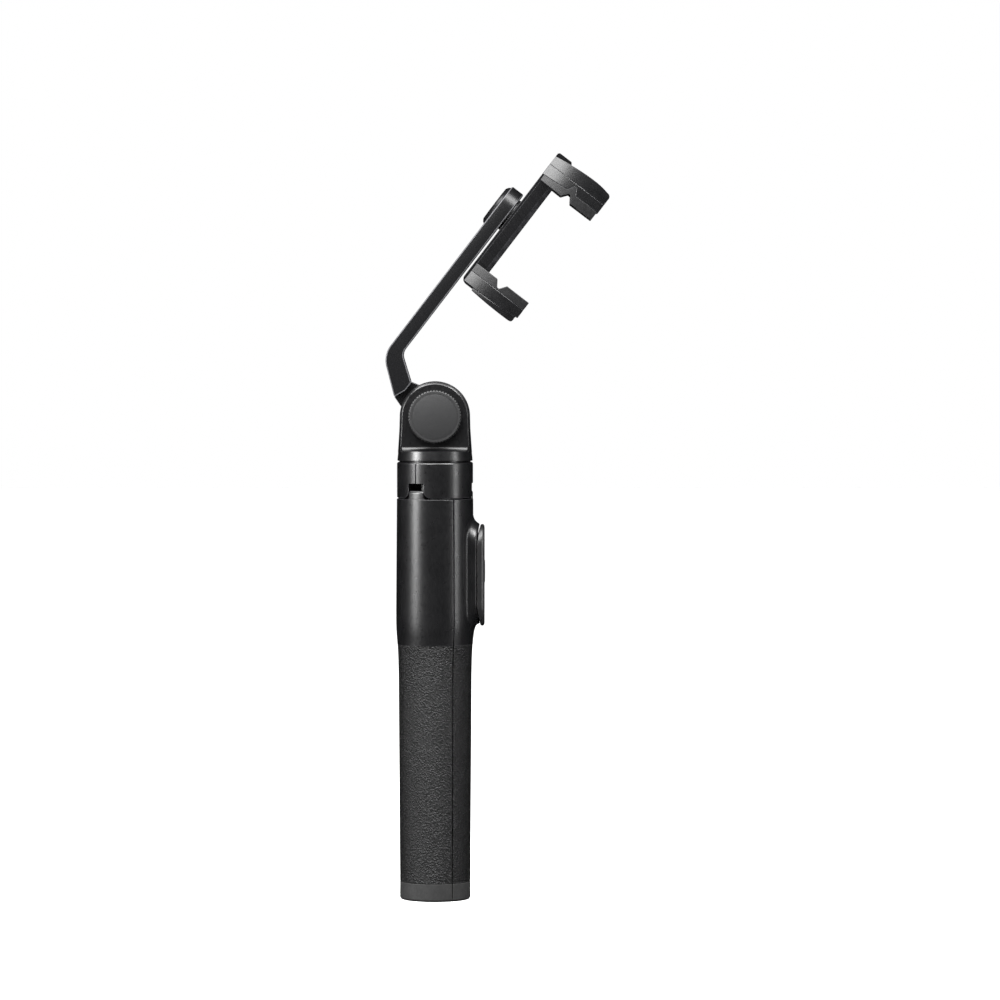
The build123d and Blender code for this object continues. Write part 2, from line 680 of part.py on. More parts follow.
def jaw_sides(half, along):
    """The outline across a jaw, with two crowned sides, on a plane square to the rail."""
    low, mid, top = jaw_tip, (rail_back + jaw_tip) / 2, rail_back
    edge = half - crown
    with BuildSketch(across_plane(along, 0)) as outline:
        with BuildLine():
            Line((-edge, top), (edge, top))
            ThreePointArc((edge, top), (half, mid), (edge, low))
            Line((edge, low), (-edge, low))
            ThreePointArc((-edge, low), (-half, mid), (-edge, top))
        make_face()
    return outline.sketch


pad_back = 68.8               # where the fixed jaw's shell meets its pad
jaw_back = ((64.0, jaw_tip), (62.75, bulge), (63.3, cavity_back))
cover_gap, cover_side, pad_side = 0.15, 0.2, 0.1
cover_low, cover_high = jaw_tip + 1.2, wrap_low - 0.2
cover_back = ((61.6, cover_low), (60.3, bulge), (61.8, cover_high))

with BuildPart() as fixed_jaw:
    with BuildSketch(arm_side):
        with BuildLine():
            ThreePointArc(*jaw_back)
            Polyline(jaw_back[2], (pad_back, cavity_back), (pad_back, jaw_tip), jaw_back[0])
        make_face()
    extrude(amount=jaw_half, both=True)
    extrude(jaw_sides(jaw_half, plate_s), amount=jaw_reach, mode=Mode.INTERSECT)
    with BuildSketch(across_plane(rail_low, rail_mid)):
        Rectangle(2 * rail_half, rail_depth)
    extrude(amount=jaw_reach, mode=Mode.SUBTRACT)
save(fixed_jaw.part, "fixed_jaw")

with BuildPart() as fixed_jaw_cover:
    with BuildSketch(arm_side):
        with BuildLine():
            ThreePointArc(*cover_back)
            Polyline(cover_back[2], (pad_back, cover_high), (pad_back, cover_low), cover_back[0])
        make_face()
        with BuildLine():
            inner = [(s - cover_gap, off) for s, off in jaw_back]
            ThreePointArc(*inner)
            Polyline(inner[2], (pad_back, cavity_back), (pad_back, jaw_tip), inner[0])
        make_face(mode=Mode.SUBTRACT)
    extrude(amount=jaw_half, both=True)
    extrude(jaw_sides(jaw_half - cover_side, plate_s - 4), amount=jaw_reach, mode=Mode.INTERSECT)
save(fixed_jaw_cover.part, "fixed_jaw_cover")

with BuildPart() as fixed_jaw_pad:
    with BuildSketch(arm_side):
        with BuildLine():
            Polyline((pad_back, jaw_tip), (fixed_face, jaw_tip), (fixed_face, notch_off - notch_open),
                     (fixed_face - notch_deep, notch_off - notch_flat),
                     (fixed_face - notch_deep, notch_off + notch_flat),
                     (fixed_face, notch_off + notch_open), (fixed_face, cavity_back),
                     (pad_back, cavity_back), close=True)
        make_face()
    extrude(amount=jaw_half, both=True)
    extrude(jaw_sides(jaw_half - pad_side, pad_back), amount=jaw_reach, mode=Mode.INTERSECT)
    with BuildSketch(across_plane(rail_low, rail_mid)):
        Rectangle(2 * rail_half, rail_depth)
    extrude(amount=jaw_reach, mode=Mode.SUBTRACT)
save(fixed_jaw_pad.part, "fixed_jaw_pad")

shell_top, shell_face, shell_notch = 128.4, 129.6, 133.2
shell_open = 2.6              # half opening of the shell's own notch, behind the pad
split_s = 134.6               # where the moving jaw's cover starts
jaw_end = ((140.2, jaw_tip), (141.2, bulge), (139.2, rail_back))
cut_s = moving_face - 2       # where the cutters for the moving jaw start
pad_low, pad_high, pad_lean = jaw_tip + 0.6, rail_back - 1, 0.5

with BuildPart() as moving_jaw:
    with BuildSketch(arm_side):
        with BuildLine():
            Polyline((shell_top, rail_back), (shell_face, notch_off + shell_open),
                     (shell_notch, notch_off + notch_flat), (shell_notch, notch_off - notch_flat),
                     (shell_face, notch_off - shell_open), (shell_face, jaw_tip),
                     (split_s, jaw_tip), (split_s, rail_back), close=True)
        make_face()
    extrude(amount=jaw_half, both=True)
    extrude(jaw_sides(jaw_half, cut_s), amount=jaw_reach, mode=Mode.INTERSECT)
    with BuildSketch(across_plane(cut_s, rail_mid)):
        Rectangle(2 * (block_half + 0.02), rail_depth + 2)
    extrude(amount=jaw_reach, mode=Mode.SUBTRACT)
save(moving_jaw.part, "moving_jaw")

with BuildPart() as moving_jaw_cover:
    with BuildSketch(arm_side):
        with BuildLine():
            Polyline(jaw_end[2], (split_s, rail_back), (split_s, jaw_tip), jaw_end[0])
            ThreePointArc(*jaw_end)
        make_face()
    extrude(amount=jaw_half, both=True)
    extrude(jaw_sides(jaw_half, cut_s), amount=jaw_reach, mode=Mode.INTERSECT)
    with BuildSketch(across_plane(cut_s, rail_mid)):
        Rectangle(2 * (block_half + 0.02), rail_depth + 2)
    extrude(amount=jaw_reach, mode=Mode.SUBTRACT)
save(moving_jaw_cover.part, "moving_jaw_cover")

with BuildPart() as moving_jaw_pad:
    with BuildSketch(arm_side):
        with BuildLine():
            Polyline((moving_face + pad_lean, pad_high), (moving_face + 0.3, notch_off + notch_open),
                     (moving_face + notch_deep, notch_off + notch_flat),
                     (moving_face + notch_deep, notch_off - notch_flat),
                     (moving_face, notch_off - notch_open), (moving_face, pad_low),
                     (shell_face, pad_low), (shell_face, notch_off - shell_open),
                     (shell_notch, notch_off - notch_flat), (shell_notch, notch_off + notch_flat),
                     (shell_face, notch_off + shell_open), (shell_top + 0.08, pad_high), close=True)
        make_face()
    extrude(amount=jaw_half, both=True)
    extrude(jaw_sides(jaw_half - pad_side, cut_s), amount=jaw_reach, mode=Mode.INTERSECT)
    with BuildSketch(across_plane(cut_s, rail_mid)):
        Rectangle(2 * (rail_half + pad_side), rail_depth + 2)
    extrude(amount=jaw_reach, mode=Mode.SUBTRACT)
save(moving_jaw_pad.part, "moving_jaw_pad")
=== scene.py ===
import bmesh
import bpy
import json
from math import atan2, cos, degrees, pi, radians, sin
from mathutils import Matrix, Vector


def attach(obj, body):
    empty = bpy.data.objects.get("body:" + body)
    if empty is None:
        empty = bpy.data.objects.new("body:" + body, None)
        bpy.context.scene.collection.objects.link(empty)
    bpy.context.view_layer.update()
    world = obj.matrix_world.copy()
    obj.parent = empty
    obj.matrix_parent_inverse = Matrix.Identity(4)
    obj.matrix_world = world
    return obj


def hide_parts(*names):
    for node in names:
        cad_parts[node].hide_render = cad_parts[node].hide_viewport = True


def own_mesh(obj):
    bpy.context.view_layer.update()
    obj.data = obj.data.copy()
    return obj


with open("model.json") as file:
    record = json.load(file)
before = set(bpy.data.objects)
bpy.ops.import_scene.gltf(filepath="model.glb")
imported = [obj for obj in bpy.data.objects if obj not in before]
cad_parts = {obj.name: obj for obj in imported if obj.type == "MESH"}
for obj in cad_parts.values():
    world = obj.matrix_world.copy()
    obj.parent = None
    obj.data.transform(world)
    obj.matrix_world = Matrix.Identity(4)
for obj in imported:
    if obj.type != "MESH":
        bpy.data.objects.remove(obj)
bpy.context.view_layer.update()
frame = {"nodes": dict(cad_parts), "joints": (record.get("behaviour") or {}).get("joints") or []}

# ======== Collar ========
# The black ABS ring under the fork. It is injection moulded in two halves, pressed over the
# outer tube, and each leg's tongue turns on a steel pin in one of its three notches.

# Every piece is modelled in millimetres and turned to metres as it is finished.
MM = 0.001
X, Y, Z = Vector((1, 0, 0)), Vector((0, 1, 0)), Vector((0, 0, 1))
joints = {joint["name"]: joint for joint in frame["joints"]}


def extent(node, direction, origin=Vector((0, 0, 0))):
    """How far a CAD node reaches along a direction from a point: lowest and highest, in mm."""
    reach = [(vertex.co / MM - origin).dot(direction) for vertex in frame["nodes"][node].data.vertices]
    return min(reach), max(reach)


def arc(centre, radius, start, end, steps=6):
    """Points of an arc, from one angle to another in degrees."""
    angles = [radians(start + (end - start) * i / steps) for i in range(steps + 1)]
    return [(centre[0] + radius * cos(a), centre[1] + radius * sin(a)) for a in angles]


def turned(*sections, start=0.0, sweep=360.0, steps=96):
    """A bmesh turned about Z from closed half sections of (radius, height)."""
    bm = bmesh.new()
    turn = Matrix.Rotation(radians(start), 3, "Z")
    geom = []
    for section in sections:
        verts = [bm.verts.new(turn @ Vector((radius, 0, height))) for radius, height in section]
        if sweep == 360.0:
            pairs = [pair for pair in zip(verts, verts[1:] + verts[:1])
                     if pair[0].co.xy.length + pair[1].co.xy.length > 0]          # none along the axis
            geom += verts + [bm.edges.new(pair) for pair in pairs]
        else:
            face = bm.faces.new(verts)
            geom += verts + list(face.edges) + [face]
    bmesh.ops.spin(bm, geom=geom, cent=(0, 0, 0), axis=(0, 0, 1), angle=radians(sweep), steps=steps,
                   use_merge=sweep == 360.0)
    bmesh.ops.remove_doubles(bm, verts=bm.verts, dist=1e-4)
    return bm


def prism(outline, low, high, plane="side"):
    """A bmesh with an outline pushed from low to high: side is X and Z, plan X and Y, end Y and Z."""
    spots = {"side": lambda a, b: (a, low, b), "plan": lambda a, b: (a, b, low),
             "end": lambda a, b: (low, a, b)}
    push = {"side": Y, "plan": Z, "end": X}[plane]
    bm = bmesh.new()
    face = bm.faces.new([bm.verts.new(spots[plane](a, b)) for a, b in outline])
    out = bmesh.ops.extrude_face_region(bm, geom=[face])
    moved = [item for item in out["geom"] if isinstance(item, bmesh.types.BMVert)]
    bmesh.ops.translate(bm, verts=moved, vec=push * (high - low))
    return bm


def box_outline(a_low, a_high, b_low, b_high):
    """A rectangle's four corners."""
    return [(a_low, b_low), (a_high, b_low), (a_high, b_high), (a_low, b_high)]


def spun(bm, turn):
    """The same bmesh, turned or moved."""
    bmesh.ops.transform(bm, matrix=turn, verts=bm.verts)
    return bm


def carve(bm, cutter, operation="DIFFERENCE"):
    """One closed bmesh cut by, joined to or kept inside another. Both are used up."""
    made = []
    for part in (bm, cutter):
        bmesh.ops.recalc_face_normals(part, faces=part.faces)
        mesh = bpy.data.meshes.new("carve")
        part.to_mesh(mesh)
        part.free()
        made.append(bpy.data.objects.new("carve", mesh))
        bpy.context.scene.collection.objects.link(made[-1])
    modifier = made[0].modifiers.new("carve", "BOOLEAN")
    modifier.object, modifier.operation, modifier.solver = made[1], operation, "EXACT"
    result = bmesh.new()
    result.from_object(made[0], bpy.context.evaluated_depsgraph_get())
    for done in made:
        mesh = done.data
        bpy.data.objects.remove(done)
        bpy.data.meshes.remove(mesh)
    bmesh.ops.remove_doubles(result, verts=result.verts, dist=1e-3)
    bmesh.ops.dissolve_limit(result, angle_limit=radians(0.3), verts=result.verts, edges=result.edges)
    return result


def round_edges(bm, width, segments=2, sharper=35.0, where=None, clamp=True):
    """Rounds the edges that are sharper than an angle, and marks the new faces in the attribute "edge"."""
    edges = [e for e in bm.edges
             if e.is_manifold and e.calc_face_angle(0) > radians(sharper) and (where is None or where(e))]
    out = bmesh.ops.bevel(bm, geom=edges, offset=width, offset_type="OFFSET", segments=segments, profile=0.5,
                          affect="EDGES", material=-1, clamp_overlap=clamp)
    layer = bm.loops.layers.float.get("edge") or bm.loops.layers.float.new("edge")
    for face in out["faces"]:
        for loop in face.loops:
            loop[layer] = 1.0
    return bm


def finished(name, bm, body, material, nodes=(), place=Matrix.Identity(4), corner=50.0):
    """Makes the piece from its bmesh: place, size in metres, shading, finish, body and CAD nodes."""
    bmesh.ops.recalc_face_normals(bm, faces=bm.faces)
    spun(bm, Matrix.Scale(MM, 4) @ place)
    mesh = bpy.data.meshes.new(name)
    bm.to_mesh(mesh)
    bm.free()
    mesh.shade_smooth()
    mesh.set_sharp_from_angle(angle=radians(corner))
    mesh.materials.append(material)
    made = bpy.data.objects.new(name, mesh)
    bpy.context.scene.collection.objects.link(made)
    made.modifiers.new("weighted normals", "WEIGHTED_NORMAL").keep_sharp = True
    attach(made, body)
    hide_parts(*nodes)
    return made


def linear(code):
    """An sRGB hex colour as linear values for a socket."""
    parts = [int(code[i:i + 2], 16) / 255 for i in (1, 3, 5)]
    return [c / 12.92 if c <= 0.04045 else ((c + 0.055) / 1.055) ** 2.4 for c in parts] + [1.0]


def grow(material, kind, inputs=None, **settings):
    """Adds a node with its settings, and fills its inputs with values or other nodes' outputs."""
    node = material.node_tree.nodes.new(kind)
    for name, value in settings.items():
        setattr(node, name, value)
    for name, value in (inputs or {}).items():
        if isinstance(value, bpy.types.NodeSocket):
            material.node_tree.links.new(value, node.inputs[name])
        else:
            node.inputs[name].default_value = value
    return node


def plug(material, shader, inputs):
    """Fills a shader's inputs with values or other nodes' outputs."""
    for name, value in inputs.items():
        if isinstance(value, bpy.types.NodeSocket):
            material.node_tree.links.new(value, shader.inputs[name])
        else:
            shader.inputs[name].default_value = value


def blank(name):
    """A new material, its shader and its Object coordinates."""
    material = bpy.data.materials.new(name)
    material.use_nodes = True
    place = grow(material, "ShaderNodeTexCoord").outputs["Object"]
    return material, material.node_tree.nodes["Principled BSDF"], place


def noise(material, place, size, low, high, detail=2.0, stretch=None):
    """Noise with patches of a size in mm, spread over low to high. Stretch lengthens it along X, Y and Z."""
    if stretch:
        place = grow(material, "ShaderNodeMapping",
                     {"Vector": place, "Scale": [1 / s for s in stretch]}).outputs["Vector"]
    texture = grow(material, "ShaderNodeTexNoise",
                   {"Vector": place, "Scale": 1 / (size * MM), "Detail": detail}).outputs["Fac"]
    return grow(material, "ShaderNodeMapRange", {"Value": texture, "From Min": 0.3, "From Max": 0.7,
                                                 "To Min": low, "To Max": high}).outputs["Result"]


def blended(material, share, low, high):
    """A colour between two colours, by a share of 0 to 1."""
    low = linear(low) if isinstance(low, str) else low
    mix = grow(material, "ShaderNodeMix", {"Factor": share}, data_type="RGBA")
    for slot_at, value in ((6, low), (7, linear(high))):
        if isinstance(value, bpy.types.NodeSocket):
            material.node_tree.links.new(value, mix.inputs[slot_at])
        else:
            mix.inputs[slot_at].default_value = value
    return mix.outputs[2]


def wear_and_edge_highlight(material, place, colour, bare_and_highlight, patch=3.0, most=0.8):
    """A colour that turns towards a lighter one along rounded edges, in patches of a size in mm: rubbed wear,
    with a painted highlight along the edges.
    """
    edge = grow(material, "ShaderNodeAttribute", attribute_name="edge").outputs["Fac"]
    rubbed_and_highlit = grow(material, "ShaderNodeMath", {0: edge, 1: noise(material, place, patch, 0.2, most)},
                  operation="MULTIPLY").outputs[0]
    return blended(material, rubbed_and_highlit, colour, bare_and_highlight)


def bumped(material, height, depth):
    """A normal from a height of 0 to 1 and a depth in mm."""
    return grow(material, "ShaderNodeBump",
                {"Height": height, "Distance": depth * MM, "Strength": 1.0}).outputs[0]


# ABS, injection moulded in a polished and lightly blasted tool: semi-gloss black, with a soft
# highlight that breaks up a little, cloudy shades of black, and edges painted lighter: rubbed wear with a
# painted highlight.
case_abs, shader, place = blank("moulded_abs")
cloudy = blended(case_abs, noise(case_abs, place, 9.0, 0, 1), "#060607", "#0a0a0b")
plug(case_abs, shader, {
    "Base Color": wear_and_edge_highlight(case_abs, place, cloudy, "#29292b"),
    "Roughness": noise(case_abs, place, 1.6, 0.27, 0.34, detail=4.0),
    "IOR": 1.54,
    "Normal": bumped(case_abs, noise(case_abs, place, 0.3, 0, 1), 0.004)})

pads_drop, pads_r, pads_chord = 0.55, 18.4, 13.7          # stop pads under the collar, cut back by each leg
collar_low, collar_high = extent("collar", Z)
collar_low += pads_drop
collar_r = extent("collar", X)[1]
bore_r = extent("tube_1", X)[1]
collar_round = 1.0
notch_half, notch_high, notch_r = 4.35, collar_low + 7.2, 11.3
notch_flare = 3.4                                         # curve at each side of a notch's mouth
split_w, split_deep = 0.5, 0.45                           # parting line above each notch
hinge_at = Vector(joints["leg_right_hinge"]["pos_m"]) / MM
leg_angle = {}                                            # where each leg sits round the handle, degrees
for name in ("right", "back_left", "front_left"):
    x, y, z = joints[f"leg_{name}_hinge"]["pos_m"]
    leg_angle[name] = degrees(atan2(y, x))

collar = turned([(bore_r, collar_low), (collar_r, collar_low),
                 *arc((collar_r - collar_round, collar_high - collar_round), collar_round, 0, 90),
                 (bore_r, collar_high)], steps=144)
notch = [(-notch_half - notch_flare, collar_low - 1),
         *arc((-notch_half - notch_flare, collar_low + notch_flare), notch_flare, -90, 0),
         (-notch_half, notch_high), (notch_half, notch_high),
         *arc((notch_half + notch_flare, collar_low + notch_flare), notch_flare, 180, 270),
         (notch_half + notch_flare, collar_low - 1)]
split = [(collar_r - split_deep, 0), (collar_r + 1, -split_w * 1.5), (collar_r + 1, split_w * 1.5)]
pads = turned(box_outline(bore_r, pads_r, collar_low - pads_drop, collar_low + 1), steps=144)
spokes = {name: Matrix.Rotation(radians(angle), 4, "Z") for name, angle in leg_angle.items()}
for spoke in spokes.values():
    cut_back = prism(box_outline(pads_chord, pads_r + 1, collar_low - 2, collar_low + 2), -pads_r, pads_r)
    pads = carve(pads, spun(cut_back, spoke))
collar = carve(collar, pads, "UNION")
for spoke in spokes.values():
    for cutter in (prism(notch, notch_r, collar_r + 2, "end"),
                   prism(split, notch_high - 1, collar_high + 1, "plan")):
        collar = carve(collar, spun(cutter, spoke))
round_edges(collar, 0.22, clamp=False)
finished("collar_ring", collar, "root", case_abs, ["collar"])

# ======== Leg hinge pins ========
# Three bright steel dowels, ground and cut to length, pushed in from the notches' side.

# Stainless steel, ground: bright, with fine lines round the pin that stretch its highlights.
steel, shader, place = blank("ground_steel")
lines = noise(steel, place, 0.12, 0, 1, detail=3.0, stretch=(1, 1, 6))
plug(steel, shader, {
    "Base Color": wear_and_edge_highlight(steel, place, blended(steel, noise(steel, place, 2.5, 0, 1), "#b9bbbd", "#c8cacb"),
                       "#d8dadb"),
    "Metallic": 1.0,
    "Roughness": noise(steel, place, 0.5, 0.22, 0.34, detail=4.0),
    "Normal": bumped(steel, lines, 0.002)})

pin_low, pin_high = extent("leg_hinge_pins", Z)
pin_half, pin_r = notch_half + 2.5, (pin_high - pin_low) / 2
for name, spoke in spokes.items():
    pin = turned([(0, -pin_half), (pin_r, -pin_half), (pin_r, pin_half), (0, pin_half)], steps=32)
    round_edges(pin, 0.2)
    across = spoke @ Matrix.Translation((hinge_at.x, 0, hinge_at.z)) @ Matrix.Rotation(radians(90), 4, "X")
    finished(f"hinge_pin_{name}", pin, "root", steel, ["leg_hinge_pins"], across)

# ======== Legs ========
# Three long shells of the same black ABS that close into the handle. Ribs stiffen them inside,
# a tongue at the top turns in the collar, and the right one has a window for the remote's cradle.
leg_low, leg_high = extent("leg_back_left", Z)[0], collar_low - 0.7
leg_r, belly_r, belly_z = collar_r + 0.1, collar_r + 0.5, 139.0
core_r, pocket_r = 12.0, 16.0
grip_high = extent("grip_right", Z)[1]
skin = 1.2
grip_outline = [(17.7, leg_low), (17.92, 48.0), (18.1, 80.0), (18.25, 112.0), (18.42, 120.0),
                (18.58, 124.0), (18.8, grip_high)]        # radius and height up the handle
leg_gap = 1.4                                             # between neighbouring legs, degrees
leg_sweep = 120 - leg_gap
pocket_sweep, pocket_low, pocket_high, rib, pockets = 100.0, 15.0, 184.0, 2.4, 4
pocket_h = (pocket_high - pocket_low + rib) / pockets - rib
tongue_half, tongue_r, tongue_out = 4.05, 1.8, collar_r - 0.05
tongue_flare, tongue_round, flare_r = 1.9, 1.6, 18.1      # the flare is only in the outer skin
rim_r = 18.69                                             # inner edge of the leg's top rim

leg_section = [(core_r, leg_low), (grip_outline[0][0] - skin, leg_low), (grip_outline[3][0] - skin, 112.0),
               (grip_outline[-1][0] - skin, grip_high), (grip_outline[-1][0] + 0.12, grip_high),
               (18.98, grip_high + 1.6), (19.22, 132.2), (19.4, 135.4), (belly_r, belly_z), (belly_r, 146.0),
               (leg_r, leg_high), (rim_r, leg_high), (hinge_at.x + 3, leg_high - 1),
               (hinge_at.x + 1.4, leg_high - 1.75), (hinge_at.x - 0.4, leg_high), (core_r, leg_high)]
tongue_side = [(hinge_at.x - tongue_r, leg_high - 4), (tongue_out + 1, leg_high - 4),
               (tongue_out + 1, hinge_at.z + tongue_r), *arc((hinge_at.x, hinge_at.z), tongue_r, 90, 180)]
tongue_end = [(-tongue_half, leg_high - 4), (tongue_half, leg_high - 4), (tongue_half, leg_high - 0.2),
              *arc((tongue_half + tongue_flare, leg_high + tongue_flare), tongue_flare, 270, 180),
              (tongue_half, hinge_at.z + tongue_r + 1), (-tongue_half, hinge_at.z + tongue_r + 1),
              *arc((-tongue_half - tongue_flare, leg_high + tongue_flare), tongue_flare, 0, -90),
              (-tongue_half, leg_high - 0.2)]
cradle_low, cradle_high = extent("remote_cradle", Z)
remote_z = (cradle_low + cradle_high) / 2
window_len, window_w = 52.0, 19.0


def stadium(length, width, centre=0.0, steps=12):
    """An upright slot's outline, as Y and Z."""
    half, straight = width / 2, (length - width) / 2
    return (arc((0, centre + straight), half, 0, 180, steps)
            + arc((0, centre - straight), half, 180, 360, steps))


for name, angle in leg_angle.items():
    leg = turned(leg_section, start=angle - leg_sweep / 2, sweep=leg_sweep, steps=40)
    round_edges(leg, 0.3, segments=3, where=lambda e: min(v.co.xy.length for v in e.verts) > rim_r - 0.1)
    rooms = [box_outline(core_r - 2, pocket_r, low, low + pocket_h)
             for low in [pocket_low + i * (pocket_h + rib) for i in range(pockets)]]
    leg = carve(leg, turned(*rooms, start=angle - pocket_sweep / 2, sweep=pocket_sweep, steps=32))
    straight = prism(box_outline(-tongue_half, tongue_half, leg_high - 4, leg_high + 9),
                     core_r, flare_r + 0.1, "end")
    flared = prism(tongue_end, flare_r, collar_r + 2, "end")
    tongue = carve(prism(tongue_side, -tongue_half - 3, tongue_half + 3), carve(straight, flared, "UNION"),
                   "INTERSECT")
    barrel = [(0, leg_high - 5), (tongue_out, leg_high - 5),
              *arc((tongue_out - tongue_round, hinge_at.z + tongue_r - tongue_round), tongue_round, 0, 90),
              (0, hinge_at.z + tongue_r)]
    tongue = carve(tongue, turned(barrel, steps=144), "INTERSECT")
    round_edges(tongue, 0.15, where=lambda e: min(v.co.z for v in e.verts) > leg_high + 1)
    leg = carve(leg, spun(tongue, spokes[name]), "UNION")
    if name == "right":
        leg = carve(leg, prism(stadium(window_len, window_w, remote_z), core_r / 2, belly_r + 3, "end"))
    finished(f"leg_{name}_shell", leg, f"leg_{name}", case_abs, [f"leg_{name}"])

# ======== Grips and feet ========
# A soft skin is moulded over the lower half of each leg, with a fine leather grain in the tool.
# A separate rubber foot closes each leg's end, so that the open tripod does not slip.

# Thermoplastic elastomer, overmoulded: charcoal, matt, with pebbles about a millimetre across
# that each catch a point of light, and colour painted darker down into the creases between them as shade.
grip_tpe, shader, place = blank("grained_elastomer")
pebble_w = 1.0
pebble = grow(grip_tpe, "ShaderNodeTexVoronoi", {"Vector": place, "Scale": 1 / (pebble_w * MM),
                                                 "Randomness": 1.0}, feature="F1").outputs["Distance"]
dome = grow(grip_tpe, "ShaderNodeMapRange", {"Value": pebble, "From Min": 0.05, "From Max": 0.6,
                                             "To Min": 1.0, "To Max": 0.0}).outputs["Result"]
grain = grow(grip_tpe, "ShaderNodeMath", {0: noise(grip_tpe, place, 0.4, 0, 0.6, detail=3.0), 1: dome},
             operation="ADD").outputs[0]
# The pebbles' colour runs darker down into the creases between them: painted shade.
plug(grip_tpe, shader, {
    "Base Color": blended(grip_tpe, noise(grip_tpe, place, 0.9, 0, 0.5, detail=3.0),
                          blended(grip_tpe, dome, "#040404", "#131314"), "#0e0e0f"),
    "Roughness": noise(grip_tpe, place, 0.6, 0.34, 0.46),
    "IOR": 1.4,
    "Normal": bumped(grip_tpe, grain, 0.27)})

# Styrene rubber, compression moulded: dull dark grey with dust-catching pores.
foot_rubber, shader, place = blank("moulded_rubber")
plug(foot_rubber, shader, {
    "Base Color": wear_and_edge_highlight(foot_rubber, place, blended(foot_rubber, noise(foot_rubber, place, 4.0, 0, 1),
                                                   "#0e0e0e", "#151515"), "#222221"),
    "Roughness": noise(foot_rubber, place, 1.2, 0.66, 0.82),
    "IOR": 1.52,
    "Normal": bumped(foot_rubber, noise(foot_rubber, place, 0.22, 0, 1, detail=4.0), 0.02)})

foot_edge = 1.4
for name, angle in leg_angle.items():
    inner = [(radius - skin, height) for radius, height in reversed(grip_outline)]
    grip = turned(grip_outline + inner, start=angle - leg_sweep / 2, sweep=leg_sweep, steps=40)
    round_edges(grip, 0.25, segments=3)
    finished(f"grip_{name}_skin", grip, f"leg_{name}", grip_tpe, [f"grip_{name}"])
    foot_r = grip_outline[0][0]
    foot = turned([(core_r, leg_low), (foot_r, leg_low),
                   *arc((foot_r - foot_edge, foot_edge), foot_edge, 0, -90), (core_r, 0)],
                  start=angle - leg_sweep / 2, sweep=leg_sweep, steps=40)
    round_edges(foot, 0.3, segments=3)
    finished(f"foot_{name}_pad", foot, f"leg_{name}", foot_rubber, [f"foot_{name}"])

# ======== Telescopic pole ========
# Six drawn aluminium tubes, each a running fit in the next, anodised black. Acetal bushes at the
# mouths hold them by friction, guides on the feet keep them straight, and a plug closes the end.

# Aluminium 6063, drawn and anodised black: satin, with fine straight draw lines along the tube.
drawn_aluminium, shader, place = blank("drawn_anodised_aluminium")
draw_lines = noise(drawn_aluminium, place, 0.16, 0, 1, detail=3.0, stretch=(1, 1, 150))
plug(drawn_aluminium, shader, {
    "Base Color": wear_and_edge_highlight(drawn_aluminium, place, blended(drawn_aluminium, draw_lines, "#2a2a2c", "#38383a"),
                       "#6a6a6c"),
    "Metallic": 0.75,
    "Roughness": noise(drawn_aluminium, place, 0.3, 0.3, 0.42, stretch=(1, 1, 60)),
    "Normal": bumped(drawn_aluminium, draw_lines, 0.003)})

# Acetal, moulded: waxy dark grey, smooth, with faint flow marks round the part.
acetal, shader, place = blank("moulded_acetal")
plug(acetal, shader, {
    "Base Color": wear_and_edge_highlight(acetal, place, blended(acetal, noise(acetal, place, 2.5, 0, 1, stretch=(1, 1, 0.3)),
                                              "#141415", "#1c1c1d"), "#353536"),
    "Roughness": noise(acetal, place, 1.0, 0.4, 0.52),
    "IOR": 1.48,
    "Normal": bumped(acetal, noise(acetal, place, 0.25, 0, 1), 0.004)})

tube_wall, running, flange = 0.6, 0.04, 0.5
tube_r = [extent(f"tube_{i}", X)[1] for i in range(1, 7)]
tube_body = ["root", "section_2", "section_3", "section_4", "section_5", "head"]
for i, (radius, body) in enumerate(zip(tube_r, tube_body), 1):
    low, high = extent(f"tube_{i}", Z)
    tube = turned(box_outline(radius - tube_wall, radius, low, high), steps=96)
    round_edges(tube, 0.15)
    finished(f"pole_tube_{i}", tube, body, drawn_aluminium, [f"tube_{i}"])
for i, body in enumerate(tube_body[:-1], 1):
    low, high = extent(f"bush_{i}", Z)
    hole = tube_r[i] + running
    bush = turned([(hole, low), (tube_r[i - 1] - tube_wall, low), (tube_r[i - 1] - tube_wall, high - flange),
                   (tube_r[i - 1], high - flange), (tube_r[i - 1], high), (hole, high)])
    round_edges(bush, 0.12)
    finished(f"pole_bush_{i}", bush, body, acetal, [f"bush_{i}"])

plug_low, plug_high = extent("end_plug", Z)
plug_lip = 2.0
end_plug = turned([(0, plug_low), (tube_r[0], plug_low), (tube_r[0], plug_low + plug_lip),
                   (tube_r[0] - tube_wall, plug_low + plug_lip), (tube_r[0] - tube_wall, plug_high),
                   (0, plug_high)])
round_edges(end_plug, 0.2)
finished("pole_end_plug", end_plug, "root", acetal, ["end_plug"])

# ======== Remote's cradle ========
# A moulded ABS tray fixed in the right leg's window. Its rim flares smoothly out of the handle
# and ends in a flat face, which the remote's case closes.


def lofted(rings):
    """A closed bmesh through rings of the same number of points, capped at both ends."""
    bm = bmesh.new()
    loops = []
    for ring in rings:
        verts = [bm.verts.new(point) for point in ring]
        loops.append([bm.edges.new(pair) for pair in zip(verts, verts[1:] + verts[:1])])
    for low, high in zip(loops, loops[1:]):
        bmesh.ops.bridge_loops(bm, edges=low + high)
    for loop in (loops[0], loops[-1]):
        bmesh.ops.contextual_create(bm, geom=loop)
    return bm


def saddle(side_x, half, end_x, top, bottom, steps=24):
    """One ring round the remote, upright, whose two round ends reach further out than its sides."""
    spots = []
    for z, way in ((top - half, 1), (bottom + half, -1)):
        turns = [radians(180 * i / steps) for i in range(steps + 1)]
        spots += [(side_x + (end_x - side_x) * sin(t) ** 2, way * half * cos(t), z + way * half * sin(t))
                  for t in turns]
    return spots


cradle_face = extent("remote_cradle", X)[1]
tray_x, tray_wall = extent("remote_cradle", X)[0], 1.0
tray_len, tray_w = 47.0, 16.8
